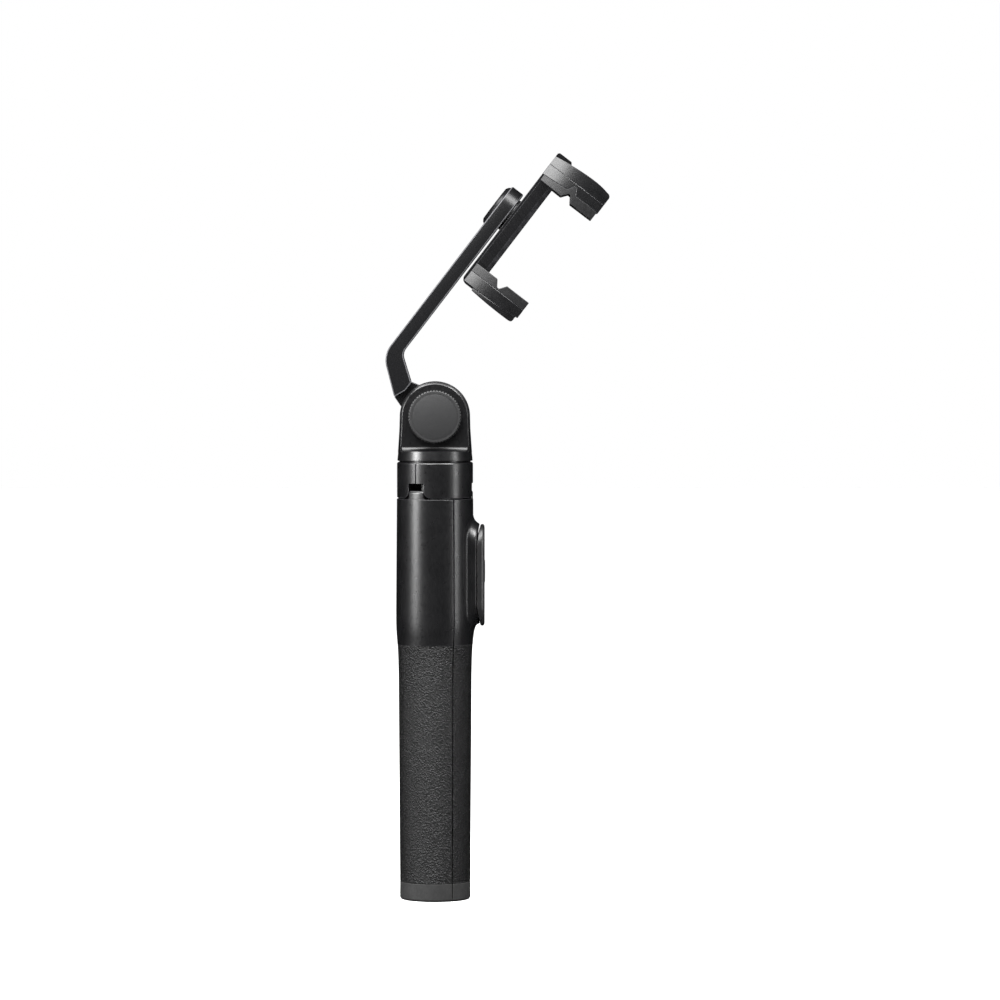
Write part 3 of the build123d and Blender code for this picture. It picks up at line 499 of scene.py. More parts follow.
# Each ring: where its sides are, its half width, where its ends are, its top and its bottom.
cradle = lofted([saddle(14.2, 13.2, 18.4, 194.0, 127.0), saddle(15.0, 12.5, 19.0, 193.0, 130.0),
                 saddle(15.5, 11.7, 19.2, 192.4, 131.3), saddle(16.0, 11.2, 19.35, 191.8, 132.6),
                 saddle(16.6, 10.95, 19.5, 191.2, 133.8), saddle(17.4, 10.87, 19.75, 190.6, 135.0),
                 saddle(18.6, 10.85, 20.4, 189.6, 136.9), saddle(19.6, 10.8, 21.2, 188.85, 137.8),
                 saddle(20.25, 10.75, 21.95, 188.4, 138.05), saddle(cradle_face, 10.45, 22.3, 187.9, 138.45)])
cradle = carve(cradle, turned([(0, leg_high - 120), (leg_r - 0.6, leg_high - 120), (leg_r - 0.6, leg_high),
                               (0, leg_high)], steps=144))
block = prism(stadium(window_len - 0.2, window_w - 0.2, remote_z, 24), tray_x, cradle_face - 1, "end")
cradle = carve(cradle, block, "UNION")
cradle = carve(cradle, prism(stadium(tray_len, tray_w, remote_z, 24),
                             tray_x + tray_wall, cradle_face + 3, "end"))
finished("remote_cradle_tray", cradle, "leg_right", case_abs, ["remote_cradle"], corner=40)

# ======== Remote ========
# A slide-off shutter remote: a base and a lid of satin ABS, closed on each other over the board
# and the coin cell, a silicone key on the lid and a clear window for its light.

# ABS, moulded in a blasted tool: satin black, finer and duller than the handle.
remote_abs, shader, place = blank("satin_abs")
cloudy = blended(remote_abs, noise(remote_abs, place, 6.0, 0, 1), "#0d0d0e", "#131314")
plug(remote_abs, shader, {
    "Base Color": wear_and_edge_highlight(remote_abs, place, cloudy, "#2b2b2d"),
    "Roughness": noise(remote_abs, place, 0.8, 0.34, 0.42, detail=4.0),
    "IOR": 1.54,
    "Normal": bumped(remote_abs, noise(remote_abs, place, 0.2, 0, 1, detail=3.0), 0.005)})

# Silicone rubber, moulded: soft and dull, with a dry bloom at grazing angles.
key_silicone, shader, place = blank("moulded_silicone")
plug(key_silicone, shader, {
    "Base Color": blended(key_silicone, noise(key_silicone, place, 1.5, 0, 1), "#1a1a1b", "#212122"),
    "Roughness": noise(key_silicone, place, 0.7, 0.55, 0.7),
    "IOR": 1.43,
    "Sheen Weight": 0.2, "Sheen Roughness": 0.5,
    "Normal": bumped(key_silicone, noise(key_silicone, place, 0.15, 0, 1), 0.004)})

# Polycarbonate, clear moulded: a small light pipe with a grey-blue depth.
light_pc, shader, place = blank("clear_polycarbonate")
plug(light_pc, shader, {
    "Base Color": blended(light_pc, noise(light_pc, place, 0.5, 0, 1), "#8f9aa3", "#a5b0b8"),
    "Roughness": noise(light_pc, place, 0.4, 0.08, 0.16),
    "IOR": 1.585, "Transmission Weight": 0.5})

base_low, seam_x = extent("remote_base", X)
lid_face = extent("remote_lid", X)[1]
lid_low, lid_high = extent("remote_lid", Z)
lid_half = extent("remote_lid", Y)[1]
base_len = 2 * (extent("remote_base", Z)[1] - remote_z)
base_w = 2 * extent("remote_base", Y)[1]
button_z = sum(extent("remote_button", Z)) / 2
button_low, button_face = extent("remote_button", X)
button_r, button_gap, led_r = 5.6, 0.1, 0.8
led_z = sum(extent("remote_light", Z)) / 2
case_wall = 1.0

rings = [saddle(seam_x, lid_half - 0.75, 22.75, lid_high - 0.9, lid_low + 0.9),
         saddle(seam_x + 0.2, lid_half - 0.25, 22.85, lid_high - 0.4, lid_low + 0.4),
         saddle(seam_x + 0.55, lid_half, 23.0, lid_high - 0.15, lid_low + 0.15),
         saddle(23.15, lid_half, 23.75, lid_high, lid_low),
         saddle(23.35, lid_half - 0.12, 23.9, lid_high, lid_low),
         saddle(24.1, lid_half - 0.5, 24.35, lid_high - 0.25, lid_low + 0.25),
         saddle(24.6, lid_half - 1.1, 24.7, lid_high - 0.8, lid_low + 0.8),
         saddle(lid_face, lid_half - 2.0, lid_face, lid_high - 1.7, lid_low + 1.7)]
lid = lofted(rings)
room = stadium(base_len - 2 * case_wall, base_w - 2 * case_wall, remote_z)
lid = carve(lid, prism(room, seam_x - 1, lid_face - case_wall, "end"))
for hole_z, radius, sides in ((button_z, button_r + button_gap, 48), (led_z, led_r, 24)):
    lid = carve(lid, prism(arc((0, hole_z), radius, 0, 360 - 360 / sides, sides - 1),
                           lid_face - 3, lid_face + 1, "end"))
finished("remote_case_lid", lid, "remote", remote_abs, ["remote_lid"], corner=40)

base = prism(stadium(base_len, base_w, remote_z, 24), base_low, seam_x, "end")
base = carve(base, prism(room, base_low + case_wall, seam_x + 1, "end"))
round_edges(base, 0.25)
finished("remote_case_base", base, "remote", remote_abs, ["remote_base"])

facing_x = Matrix.Rotation(radians(90), 4, "Y")
key_lip, key_dish, key_edge = 0.8, 0.25, 0.4
button = turned([(0, button_low), (button_r + key_lip, button_low), (button_r + key_lip, button_low + 0.95),
                 (button_r, button_low + 0.95), (button_r, button_face - key_edge),
                 *arc((button_r - key_edge, button_face - key_edge), key_edge, 0, 90, 4),
                 (button_r * 0.6, button_face - key_dish * 0.7),
                 (button_r * 0.3, button_face - key_dish * 0.95), (0, button_face - key_dish)], steps=64)
finished("remote_key", button, "remote_button", key_silicone, ["remote_button"],
         Matrix.Translation((0, 0, button_z)) @ facing_x, corner=40)
light_low, light_high = extent("remote_light", X)
light = turned([(0, light_low), (led_r, light_low), (led_r, light_high - 0.15), (led_r * 0.7, light_high),
                (0, light_high)], steps=24)
finished("remote_light_pipe", light, "remote", light_pc, ["remote_light"],
         Matrix.Translation((0, 0, led_z)) @ facing_x)

# ======== Fork ========
# The head of the pole: an ABS body turned in the mould about the pole's axis, with two flats for
# the knob and the axle's head, a slot for the arm, and a round base that meets the collar.
pivot = Vector(joints["arm_tilt"]["pos_m"]) / MM
spigot_r, spigot_drop = 17.8, 0.5                         # closes the gap to the collar
ring_low = extent("fork", Z)[0] + spigot_drop
fork_high = extent("fork", Z)[1]
fork_r = fork_high - pivot.z
ring_r, ring_high = extent("fork", X)[1], 224.6
fork_half, slot_half = 8.1, 3.6
slot_floor = pivot.z - 14.6
cove = 2.5                                                # curve from each flat out to the base
cheek_edge = 1.5
ring_edge = 0.35
inside = 0.06                                             # the base stays this far within the cheeks' sides
flank = [(ring_low + 1.3, ring_r - 0.08), (ring_high, 18.42), (pivot.z - 12, 18.05), (pivot.z - 6, 17.65),
         (pivot.z, fork_r)]                               # height and half width of the sides


def flank_r(z):
    """The sides' half width at a height."""
    for (z_low, r_low), (z_high, r_high) in zip(flank, flank[1:]):
        if z <= z_high:
            return r_low + (r_high - r_low) * (z - z_low) / (z_high - z_low)
    return flank[-1][1]


def cheek_ring(y, inset):
    """The fork's outline at one depth: up the sides and round the top."""
    heights = [ring_high - 0.6 + (pivot.z - ring_high + 0.6) * i / 10 for i in range(10)]
    side = [(flank_r(z) - inset, z) for z in heights]
    return ([(x, y, z) for x, z in side + arc((0, pivot.z), fork_r - inset, 0, 180, 72)]
            + [(-x, y, z) for x, z in reversed(side)])


chamfer = [(fork_half, cheek_edge), (fork_half - 0.12, cheek_edge - 0.3), (fork_half - cheek_edge + 0.3, 0.12),
           (fork_half - cheek_edge, 0.0)]                 # depth and inset, from a cheek out to the sides
fork = lofted([cheek_ring(y, inset) for y, inset in chamfer + [(-y, inset) for y, inset in reversed(chamfer)]])
fork = carve(fork, turned(box_outline(0, ring_r - 0.05, ring_low, fork_high + 2), steps=160), "INTERSECT")
skirt = [(-ring_r - 2, ring_low - 1), (ring_r + 2, ring_low - 1), (ring_r + 2, ring_high),
         *[(fork_half + cove - cove * sin(radians(a)), ring_high + cove - cove * cos(radians(a)))
           for a in range(0, 91, 10)],
         *[(-fork_half - cove + cove * sin(radians(a)), ring_high + cove - cove * cos(radians(a)))
           for a in range(90, -1, -10)], (-ring_r - 2, ring_high)]
base = turned([(0, ring_low - spigot_drop), (spigot_r, ring_low - spigot_drop), (spigot_r, ring_low),
               *arc((ring_r - ring_edge, ring_low + ring_edge), ring_edge, -90, 0, 3),
               (flank[0][1], flank[0][0]), (flank[1][1] - inside, ring_high),
               (flank[2][1] - inside, flank[2][0]), (0, flank[2][0])], steps=160)
base = carve(base, prism(skirt, -ring_r - 3, ring_r + 3, "end"), "INTERSECT")
fork = carve(fork, base, "UNION")
fork = carve(fork, prism(box_outline(-ring_r - 3, ring_r + 3, slot_floor, fork_high + 3),
                         -slot_half, slot_half))
round_edges(fork, 0.18, sharper=40, clamp=False,
            where=lambda e: max(abs(v.co.y) for v in e.verts) < slot_half + 0.1
            and min(v.co.z for v in e.verts) > slot_floor - 0.1)
finished("fork_body", fork, "head", case_abs, ["fork"])

# ======== Tilt axle, washers and knob ========
# A steel axle with a round socket head behind, two acetal friction washers beside the arm's eye,
# and a moulded hand knob with a brass insert under a pressed-in cap.
facing_camera = Matrix.Translation(pivot) @ Matrix.Rotation(radians(90), 4, "X")      # turns Z to -Y
axle_low, axle_high = extent("tilt_axle", -Y)
axle_r, head_r, head_edge = 2.5, extent("tilt_axle", X)[1], 0.5
socket_r, socket_deep = 2.3, 1.4
axle = turned([(0, axle_low), (head_r - head_edge, axle_low), (head_r, axle_low + head_edge),
               (head_r, -fork_half), (axle_r, -fork_half), (axle_r, axle_high), (0, axle_high)], steps=96)
axle = carve(axle, prism(arc((0, 0), socket_r, 0, 300, 5), axle_low - 1, axle_low + socket_deep, "plan"))
round_edges(axle, 0.12)
finished("tilt_axle_screw", axle, "head", steel, ["tilt_axle"], facing_camera)

washer_r = extent("tilt_washers", X)[1]
washer_t = 0.35
for side, low in (("front", slot_half - washer_t), ("back", -slot_half)):
    washer = turned(box_outline(axle_r, washer_r, low, low + washer_t), steps=96)
    round_edges(washer, 0.08)
    finished(f"tilt_washer_{side}", washer, "head", acetal, ["tilt_washers"], facing_camera)

# ABS, moulded in a spark-eroded tool: a dry, even black without a clear highlight.
knob_abs, shader, place = blank("spark_eroded_abs")
pits = noise(knob_abs, place, 0.18, 0, 1, detail=5.0)
plug(knob_abs, shader, {
    "Base Color": wear_and_edge_highlight(knob_abs, place, blended(knob_abs, pits, "#0d0d0e", "#121213"), "#262627"),
    "Roughness": noise(knob_abs, place, 0.4, 0.44, 0.54),
    "IOR": 1.54,
    "Normal": bumped(knob_abs, pits, 0.012)})

knob_low, knob_high = extent("tilt_knob", -Y)
knob_r = extent("tilt_knob", X)[1]
cap_r, cap_deep = 11.4, 0.9                               # the recess that the cap is pressed into
grooves, groove_deep, points = 53, 0.5, 8                 # round the rim, and points to each groove


def knurled(radius, height, depth):
    """One ring of the knob, with its grooves at a depth."""
    turns = [2 * pi * i / (grooves * points) for i in range(grooves * points)]
    radii = [radius - depth * max(0.0, cos(grooves * turn)) ** 2 for turn in turns]
    return [(r * cos(turn), r * sin(turn), height) for r, turn in zip(radii, turns)]


knob_outline = [(knob_r - 0.3, knob_low, groove_deep), (knob_r, knob_low + 0.3, groove_deep),
                (knob_r, knob_high - 0.8, groove_deep), (knob_r - 0.2, knob_high - 0.4, groove_deep),
                (knob_r - 0.5, knob_high - 0.12, groove_deep * 0.6), (knob_r - 0.9, knob_high, 0),
                (cap_r, knob_high, 0), (cap_r, knob_high - cap_deep, 0)]
knob = lofted([knurled(*ring) for ring in knob_outline])
knob = carve(knob, turned(box_outline(0, axle_r + 2.1, knob_low - 1, knob_high + 1), steps=6))
finished("tilt_knob_body", knob, "tilt_knob", knob_abs, ["tilt_knob"], facing_camera, corner=30)

cap_low, cap_high = extent("knob_cap", -Y)
cap_dome = 0.6                                            # the face is slightly domed
cap = turned([(0, cap_low), (cap_r - 0.02, cap_low), (cap_r - 0.02, cap_high - 0.05),
              *[((cap_r - 0.1) * part, cap_high + cap_dome * (1 - part * part))
                for part in (1.0, 0.85, 0.7, 0.55, 0.4, 0.25, 0.12, 0.0)]], steps=96)
finished("tilt_knob_cap", cap, "tilt_knob", knob_abs, ["knob_cap"], facing_camera, corner=30)

# ======== Arm ========
# A bent aluminium bar: milled to one width in its foot and widened to a round head, with a thin
# tongue and eye at its foot. It is blasted, anodised black, and its edges are cut at 45 degrees.
lean = Vector(joints["jaw_slide"]["axis"]).normalized()
lift = Vector(joints["clamp_swivel"]["axis"]).normalized()
on_arm = Matrix.Translation(pivot) @ Matrix((lean, Y, lift)).transposed().to_4x4()     # X is along the arm

# Aluminium, blasted and anodised black: dull even black with a fine dry grain. Its edges are cut
# afterwards, and a lighter grey painted on them stands in for their highlight, as thin bright lines.
arm_aluminium, shader, place = blank("blasted_anodised_aluminium")
edge = grow(arm_aluminium, "ShaderNodeAttribute", attribute_name="edge").outputs["Fac"]
grit = noise(arm_aluminium, place, 0.22, 0, 1, detail=4.0)
black = blended(arm_aluminium, grit, "#0a0a0b", "#101011")
dull = noise(arm_aluminium, place, 0.6, 0.27, 0.35)
# The chamfers are painted a lighter grey all along: a painted highlight of the cut edges.
plug(arm_aluminium, shader, {
    "Base Color": blended(arm_aluminium, edge, black, "#4a4a4c"),
    "Metallic": 0.2,
    "Roughness": dull,
    "Specular IOR Level": 0.25,
    "Normal": bumped(arm_aluminium, grit, 0.004)})

arm_outer = extent("arm", lift, pivot)[1]
arm_inner = arm_outer - 7.0                               # the bar is 7 mm thick
swivel_s = (Vector(joints["clamp_swivel"]["pos_m"]) / MM - pivot).dot(lean)
arm_end = extent("arm", lean, pivot)[1]
arm_half = arm_end - swivel_s
plan_low, plan_foot, plan_s = 8.0, 8.6, 24.0
shoulder, heel, toe = 19.6, (-4.6, 22.0), (6.3, 19.6)
bend_outer, bend_inner = 12.5, 5.5
eye_r, tongue_t = 12.0, slot_half - washer_t - 0.05
swivel_r = 2.2


def bent(points, radius, steps=10):
    """A corner between three points, rounded to a radius."""
    before, corner, after = (Vector(point) for point in points)
    one, two = (before - corner).normalized(), (after - corner).normalized()
    half = one.angle(two) / 2
    centre = corner + (one + two).normalized() * radius / sin(half)
    first, last = corner + one * radius * cos(half) / sin(half), corner + two * radius * cos(half) / sin(half)
    start, end = (degrees(atan2(p.y - centre.y, p.x - centre.x)) for p in (first, last))
    return arc(centre, radius, start, start + (end - start + 180) % 360 - 180, steps)


elbow_outer, elbow_inner = (8.8, arm_outer), (15.2, arm_inner)
arm_side = [(arm_end + 1, arm_outer), (arm_end + 1, arm_inner),
            *bent([(arm_end, arm_inner), elbow_inner, toe], bend_inner), toe, (1.4, shoulder), heel,
            *bent([heel, elbow_outer, (arm_end, arm_outer)], bend_outer, 16)]
arm_plan = [(-30, -plan_low), (plan_s, -plan_foot), (swivel_s, -arm_half),
            *arc((swivel_s, 0), arm_half, -90, 90, 40)[1:-1],
            (swivel_s, arm_half), (plan_s, plan_foot), (-30, plan_low)]
arm = carve(prism(arm_side, -arm_half - 1, arm_half + 1),
            prism(arm_plan, shoulder - 4, arm_outer + 4, "plan"), "INTERSECT")
round_edges(arm, 0.5, segments=1, sharper=40)
eye = carve(prism([(toe[0], shoulder + 1), heel, (-eye_r * 0.99, -eye_r * 0.05), (eye_r * 0.97, eye_r * 0.2)],
                  -tongue_t, tongue_t),
            prism(arc((0, 0), eye_r, 0, 355, 71), -tongue_t, tongue_t), "UNION")
round_edges(eye, 0.25)
arm = carve(arm, eye, "UNION")
arm = carve(arm, prism(arc((0, 0), axle_r, 0, 345, 23), -tongue_t - 1, tongue_t + 1))
finished("arm_bar", arm, "arm", arm_aluminium, ["arm"], on_arm)

# ======== Clamp swivel ========
# A turned aluminium cap on the arm's head covers the screw that the clamp turns on. Below the
# arm an acetal disc keeps the rail clear and gives the swivel its friction.
at_swivel = on_arm @ Matrix.Translation((swivel_s, 0, 0))
cap_low, cap_high = extent("swivel_cap", lift, pivot)
swivel_cap_r = extent("swivel_cap", Y)[1]
cap_edge = 1.7
swivel_cap = turned([(0, cap_low), (swivel_cap_r - 0.15, cap_low), (swivel_cap_r, cap_low + 0.15),
                     (swivel_cap_r - cap_edge * 0.3, cap_low + 0.95),
                     (swivel_cap_r - cap_edge, cap_high - 0.12),
                     (swivel_cap_r - cap_edge - 0.4, cap_high), (0, cap_high)], steps=128)
finished("swivel_cap_disc", swivel_cap, "arm", arm_aluminium, ["swivel_cap"], at_swivel, corner=25)

hub_low, hub_high = extent("swivel_hub", lift, pivot)
hub_r = extent("swivel_hub", Y)[1]
hub = turned(box_outline(swivel_r + running, hub_r, hub_low, hub_high), steps=96)
round_edges(hub, 0.15)
finished("swivel_hub_disc", hub, "clamp", acetal, ["swivel_hub"], at_swivel)

# ======== Clamp rail and slide bar ========
# A folded aluminium channel with a back plate spot-welded over it. The slide bar runs inside
# between two steel springs, and its end block carries the moving jaw.

# Aluminium sheet, brushed along the rail and anodised black: satin, with long faint lines.
plate_aluminium, shader, place = blank("brushed_anodised_aluminium")
along_rail = grow(plate_aluminium, "ShaderNodeVectorRotate",
                  {"Vector": place, "Angle": -radians(90) + atan2(lean.x, lean.z)},
                  rotation_type="Y_AXIS").outputs["Vector"]
brushed = noise(plate_aluminium, along_rail, 0.12, 0, 1, detail=4.0, stretch=(60, 1, 1))
# The rounded edges are painted lighter in patches: rubbed wear, with a painted highlight along the rail's
# edges.
plug(plate_aluminium, shader, {
    "Base Color": wear_and_edge_highlight(plate_aluminium, place, blended(plate_aluminium, brushed, "#050506", "#09090a"),
                       "#242426"),
    "Metallic": 0.1,
    "Specular IOR Level": 0.2,
    "Roughness": noise(plate_aluminium, along_rail, 0.4, 0.28, 0.36, stretch=(20, 1, 1)),
    "Normal": bumped(plate_aluminium, brushed, 0.003)})

rail_s, rail_q = extent("rail", lean, pivot), extent("rail", lift, pivot)
rail_half = extent("rail", Y)[1]
plate_s, plate_q = extent("rail_back_plate", lean, pivot), extent("rail_back_plate", lift, pivot)
plate_t, plate_r, plate_inner = 1.3, 3.0, 62.6
rail_edge, rail_wall, mouth_wall = 1.9, 1.2, 2.4
room_half, room_low, room_high = 9.6, rail_q[0] + 1.4, plate_q[1] - plate_t
bar_half, bar_t, bar_gap = 4.0, 4.4, 0.2
bar_q = (room_low + room_high) / 2

rail = prism(box_outline(rail_s[0], rail_s[1], rail_q[0], rail_q[1]), -rail_half, rail_half)
round_edges(rail, rail_edge, segments=1, where=lambda e: all(abs(v.co.z - rail_q[0]) < 0.01 for v in e.verts)
            and abs(e.verts[0].co.y - e.verts[1].co.y) < 0.01)
rail = carve(rail, prism(box_outline(rail_s[0] + rail_wall, rail_s[1] - mouth_wall, room_low, rail_q[1] + 1),
                         -room_half, room_half))
mouth = box_outline(-bar_half - bar_gap, bar_half + bar_gap,
                    bar_q - bar_t / 2 - bar_gap, bar_q + bar_t / 2 + bar_gap)
rail = carve(rail, prism(mouth, rail_s[1] - mouth_wall - 1, rail_s[1] + 1, "end"))
round_edges(rail, 0.2, clamp=False)
finished("rail_channel", rail, "clamp", plate_aluminium, ["rail"], on_arm)

plate = prism([(plate_s[1], plate_q[1]), (plate_s[1], room_high), (plate_inner, room_high),
               (plate_inner, plate_q[0]), (plate_s[0], plate_q[0]),
               *arc((plate_s[0] + plate_r, plate_q[1] - plate_r), plate_r, 180, 90, 8)],
              -rail_half, rail_half)
round_edges(plate, 0.22)
finished("rail_cover_plate", plate, "clamp", plate_aluminium, ["rail_back_plate"], on_arm)

head_low, head_high = extent("slide_bar", lean, pivot)[0], 69.0
block_low, block_high, block_edge = rail_s[1] + 0.3, extent("slide_bar", lean, pivot)[1], 0.8
block_half = rail_half - 0.2
travel = joints["jaw_slide"]["range_m"][1] / MM
bar = prism(box_outline(head_low, block_low + 1, bar_q - bar_t / 2, bar_q + bar_t / 2), -bar_half, bar_half)
crosshead = prism(box_outline(head_low, head_high, bar_q - bar_t / 2, bar_q + bar_t / 2),
                  -room_half + 0.3, room_half - 0.3)
block = prism([(block_low, rail_q[0]), (block_high - block_edge, rail_q[0]),
               (block_high, rail_q[0] + block_edge), (block_high, plate_q[1] - block_edge),
               (block_high - block_edge, plate_q[1]), (block_low, plate_q[1])], -block_half, block_half)
bar = carve(carve(bar, crosshead, "UNION"), block, "UNION")
slot_end = 2 * (swivel_r + 0.4)
slotted = [(swivel_s - travel / 2 + z, y) for y, z in stadium(travel + 2 + slot_end, slot_end)]
bar = carve(bar, prism(slotted, rail_q[0] + 2.8, plate_q[1] + 1, "plan"))
round_edges(bar, 0.3)
finished("slide_bar_block", bar, "moving_jaw", plate_aluminium, ["slide_bar"], on_arm)

# ======== Jaw springs ========
# Two compression springs of bright steel wire, one on each side of the slide bar. They push its
# crosshead away from the rail's mouth and so close the jaws.
wire_r, coil_r, turns, coil_steps = 0.28, 2.1, 26, 14
spring_low, spring_high = extent("jaw_springs", lean, pivot)
spring_y = extent("jaw_springs", Y)[1] - 2.4
along_arm = Matrix(((0, 0, 1, 0), (0, 1, 0, 0), (-1, 0, 0, 0), (0, 0, 0, 1)))          # turns Z to X
for side, name in ((-1, "front"), (1, "back")):
    coil = bmesh.new()
    upright = Matrix.Translation((coil_r, 0, wire_r)) @ Matrix.Rotation(radians(90), 4, "X")
    bmesh.ops.create_circle(coil, segments=8, radius=wire_r, matrix=upright)
    rise = (spring_high - spring_low - 2 * wire_r) / (turns * coil_steps)
    bmesh.ops.spin(coil, geom=coil.verts[:] + coil.edges[:], cent=(0, 0, 0), axis=(0, 0, 1), dvec=(0, 0, rise),
                   angle=2 * pi * turns, steps=turns * coil_steps)
    bmesh.ops.holes_fill(coil, edges=coil.edges, sides=8)
    spring = finished(f"jaw_spring_{name}", coil, "clamp", steel, ["jaw_springs"],
                      on_arm @ Matrix.Translation((spring_low, side * spring_y, bar_q)) @ along_arm)
    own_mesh(spring)

# ======== Jaws ========
# Each jaw is a shell of glass-filled nylon with a screwed-on cover and a rubber pad. Their sides
# are crowned, and the pads have a V notch that a phone's rounded edge sits in.

# Nylon 6 with glass, moulded: satin black with a soft wide highlight and a faint flow of fibres.
jaw_nylon, shader, place = blank("glass_filled_nylon")
fibres = noise(jaw_nylon, place, 0.25, 0, 1, detail=4.0, stretch=(1, 1, 3))
plug(jaw_nylon, shader, {
    "Base Color": wear_and_edge_highlight(jaw_nylon, place, blended(jaw_nylon, noise(jaw_nylon, place, 5.0, 0, 1),
                                                 "#070708", "#0c0c0d"), "#222224"),
    "Roughness": noise(jaw_nylon, place, 0.7, 0.27, 0.33, detail=4.0),
    "IOR": 1.53,
    "Normal": bumped(jaw_nylon, fibres, 0.002)})

# Silicone rubber, moulded: dull charcoal pads with a fine blasted surface.
pad_silicone, shader, place = blank("silicone_pad")
plug(pad_silicone, shader, {
    "Base Color": wear_and_edge_highlight(pad_silicone, place, blended(pad_silicone, noise(pad_silicone, place, 2.0, 0, 1),
                                                    "#0c0c0d", "#121213"), "#1f1f20"),
    "Roughness": noise(pad_silicone, place, 0.9, 0.4, 0.5),
    "IOR": 1.43,
    "Normal": bumped(pad_silicone, noise(pad_silicone, place, 0.16, 0, 1, detail=3.0), 0.008)})

tip = extent("fixed_jaw", lift, pivot)[0]
jaw_half = extent("fixed_jaw", Y)[1]
crown = 2.6                                               # how much the sides swell towards their middle
notch_q, notch_open, notch_deep, notch_flat = 13.9, 3.0, 3.4, 0.6
pad_back = 68.8                                           # where the fixed jaw's shell meets its pad
pad_face = extent("fixed_jaw_pad", lean, pivot)[1]
face = extent("moving_jaw_pad", lean, pivot)[0]
shell_top, shell_face, shell_notch, shell_open = 128.4, 129.6, 133.2, 2.6
split_s = 134.6
top_q = plate_q[1]
bulge = 12.0


def bowed(start, middle, end, steps=10):
    """Points of a shallow arc through three points."""
    a, b, c = (Vector(point) for point in (start, middle, end))
    parts = [i / steps for i in range(steps + 1)]
    return [tuple(a * (1 - t) * (1 - 2 * t) + b * 4 * t * (1 - t) + c * t * (2 * t - 1)) for t in parts]


def jaw_part(side, half, pocket_half, edge, low_s=56.0, high_s=146.0, pocket=None):
    """A jaw's piece: a side outline with crowned sides, less a pocket for the rail or the slide bar's block."""
    crowned = (bowed((half - crown, top_q), (half, (top_q + tip) / 2), (half - crown, tip), 20)
               + bowed((-half + crown, tip), (-half, (top_q + tip) / 2), (-half + crown, top_q), 20))
    bm = carve(prism(side, -half - 1, half + 1), prism(crowned, low_s, high_s, "end"), "INTERSECT")
    if pocket:
        bm = carve(bm, prism(pocket, -pocket_half, pocket_half))
    return round_edges(bm, edge, segments=3, clamp=edge > 0.5)


rail_pocket = box_outline(rail_s[0], pad_face + 5, rail_q[0], rail_q[1] + 3)
block_pocket = box_outline(face - 2, block_high + 3, rail_q[0] - 0.02, top_q + 3)
back_tip, back_bulge, back_top = 64.0, 62.75, 62.7        # the fixed shell's back, along the rail
shell_back = bowed((back_tip, tip), (back_bulge, bulge), (back_top, room_high))
fixed_shell = jaw_part([*shell_back, (pad_back, room_high), (pad_back, tip)], jaw_half, rail_half, 0.25,
                       pocket=rail_pocket)
finished("fixed_jaw_shell", fixed_shell, "clamp", jaw_nylon, ["fixed_jaw"], on_arm)

cover_s = extent("fixed_jaw_cover", lean, pivot)[0]
cover_low, cover_high = extent("fixed_jaw_cover", lift, pivot)
cover_side = [*arc((cover_s + 1.4, cover_low + 1.3), 1.3, -90, -180, 4),
              *bowed((cover_s - 0.02, cover_low + 2), (cover_s + 0.05, bulge), (cover_s + 0.75, cover_high)),
              *reversed(bowed((back_tip - 0.15, cover_low), (back_bulge - 0.15, bulge),
                              (back_top - 0.15, cover_high)))]
fixed_cover = jaw_part(cover_side, jaw_half - 0.2, 0, 0.2)
finished("fixed_jaw_lid", fixed_cover, "clamp", jaw_nylon, ["fixed_jaw_cover"], on_arm)

pad_side = [(pad_back, tip), (pad_face, tip), (pad_face, notch_q - notch_open),
            (pad_face - notch_deep, notch_q - notch_flat), (pad_face - notch_deep, notch_q + notch_flat),
            (pad_face, notch_q + notch_open), (pad_face, room_high), (pad_back, room_high)]
fixed_pad = jaw_part(pad_side, jaw_half - 0.1, rail_half, 0.35, pocket=rail_pocket)
finished("fixed_jaw_cushion", fixed_pad, "clamp", pad_silicone, ["fixed_jaw_pad"], on_arm)

shell_side = [(shell_top, top_q), (shell_face, notch_q + shell_open), (shell_notch, notch_q + notch_flat),
              (shell_notch, notch_q - notch_flat), (shell_face, notch_q - shell_open), (shell_face, tip),
              (split_s - 0.1, tip), (split_s - 0.1, top_q)]
moving_shell = jaw_part(shell_side, jaw_half, block_half + 0.02, 0.25, pocket=block_pocket)
finished("moving_jaw_shell", moving_shell, "moving_jaw", jaw_nylon, ["moving_jaw"], on_arm)

lid_side = [(split_s, top_q), (split_s, tip), *arc((138.4, tip + 2.0), 2.0, -90, -10, 5),
            *bowed((140.55, tip + 3.0), (141.2, bulge), (139.2, top_q))]
moving_lid = jaw_part(lid_side, jaw_half, block_half + 0.02, 0.75, pocket=block_pocket)
finished("moving_jaw_lid", moving_lid, "moving_jaw", jaw_nylon, ["moving_jaw_cover"], on_arm)

pad_low, pad_high = extent("moving_jaw_pad", lift, pivot)
pad_side = [(face + 0.5, pad_high), (face + 0.3, notch_q + notch_open),
            (face + notch_deep, notch_q + notch_flat), (face + notch_deep, notch_q - notch_flat),
            (face, notch_q - notch_open), (face, pad_low), (shell_face, pad_low),
            (shell_face, notch_q - shell_open), (shell_notch, notch_q - notch_flat),
            (shell_notch, notch_q + notch_flat), (shell_face, notch_q + shell_open),
            (shell_top + 0.08, pad_high)]
moving_pad = jaw_part(pad_side, jaw_half - 0.1, rail_half + 0.1, 0.3, pocket=block_pocket)
finished("moving_jaw_cushion", moving_pad, "moving_jaw", pad_silicone, ["moving_jaw_pad"], on_arm)

# ======== Hidden parts ========
# What sits inside: guides on the tubes' feet, the stem and insert, the swivel's screw and nut,
# and the remote's board and coin cell. Their CAD shapes are right and only take a finish.

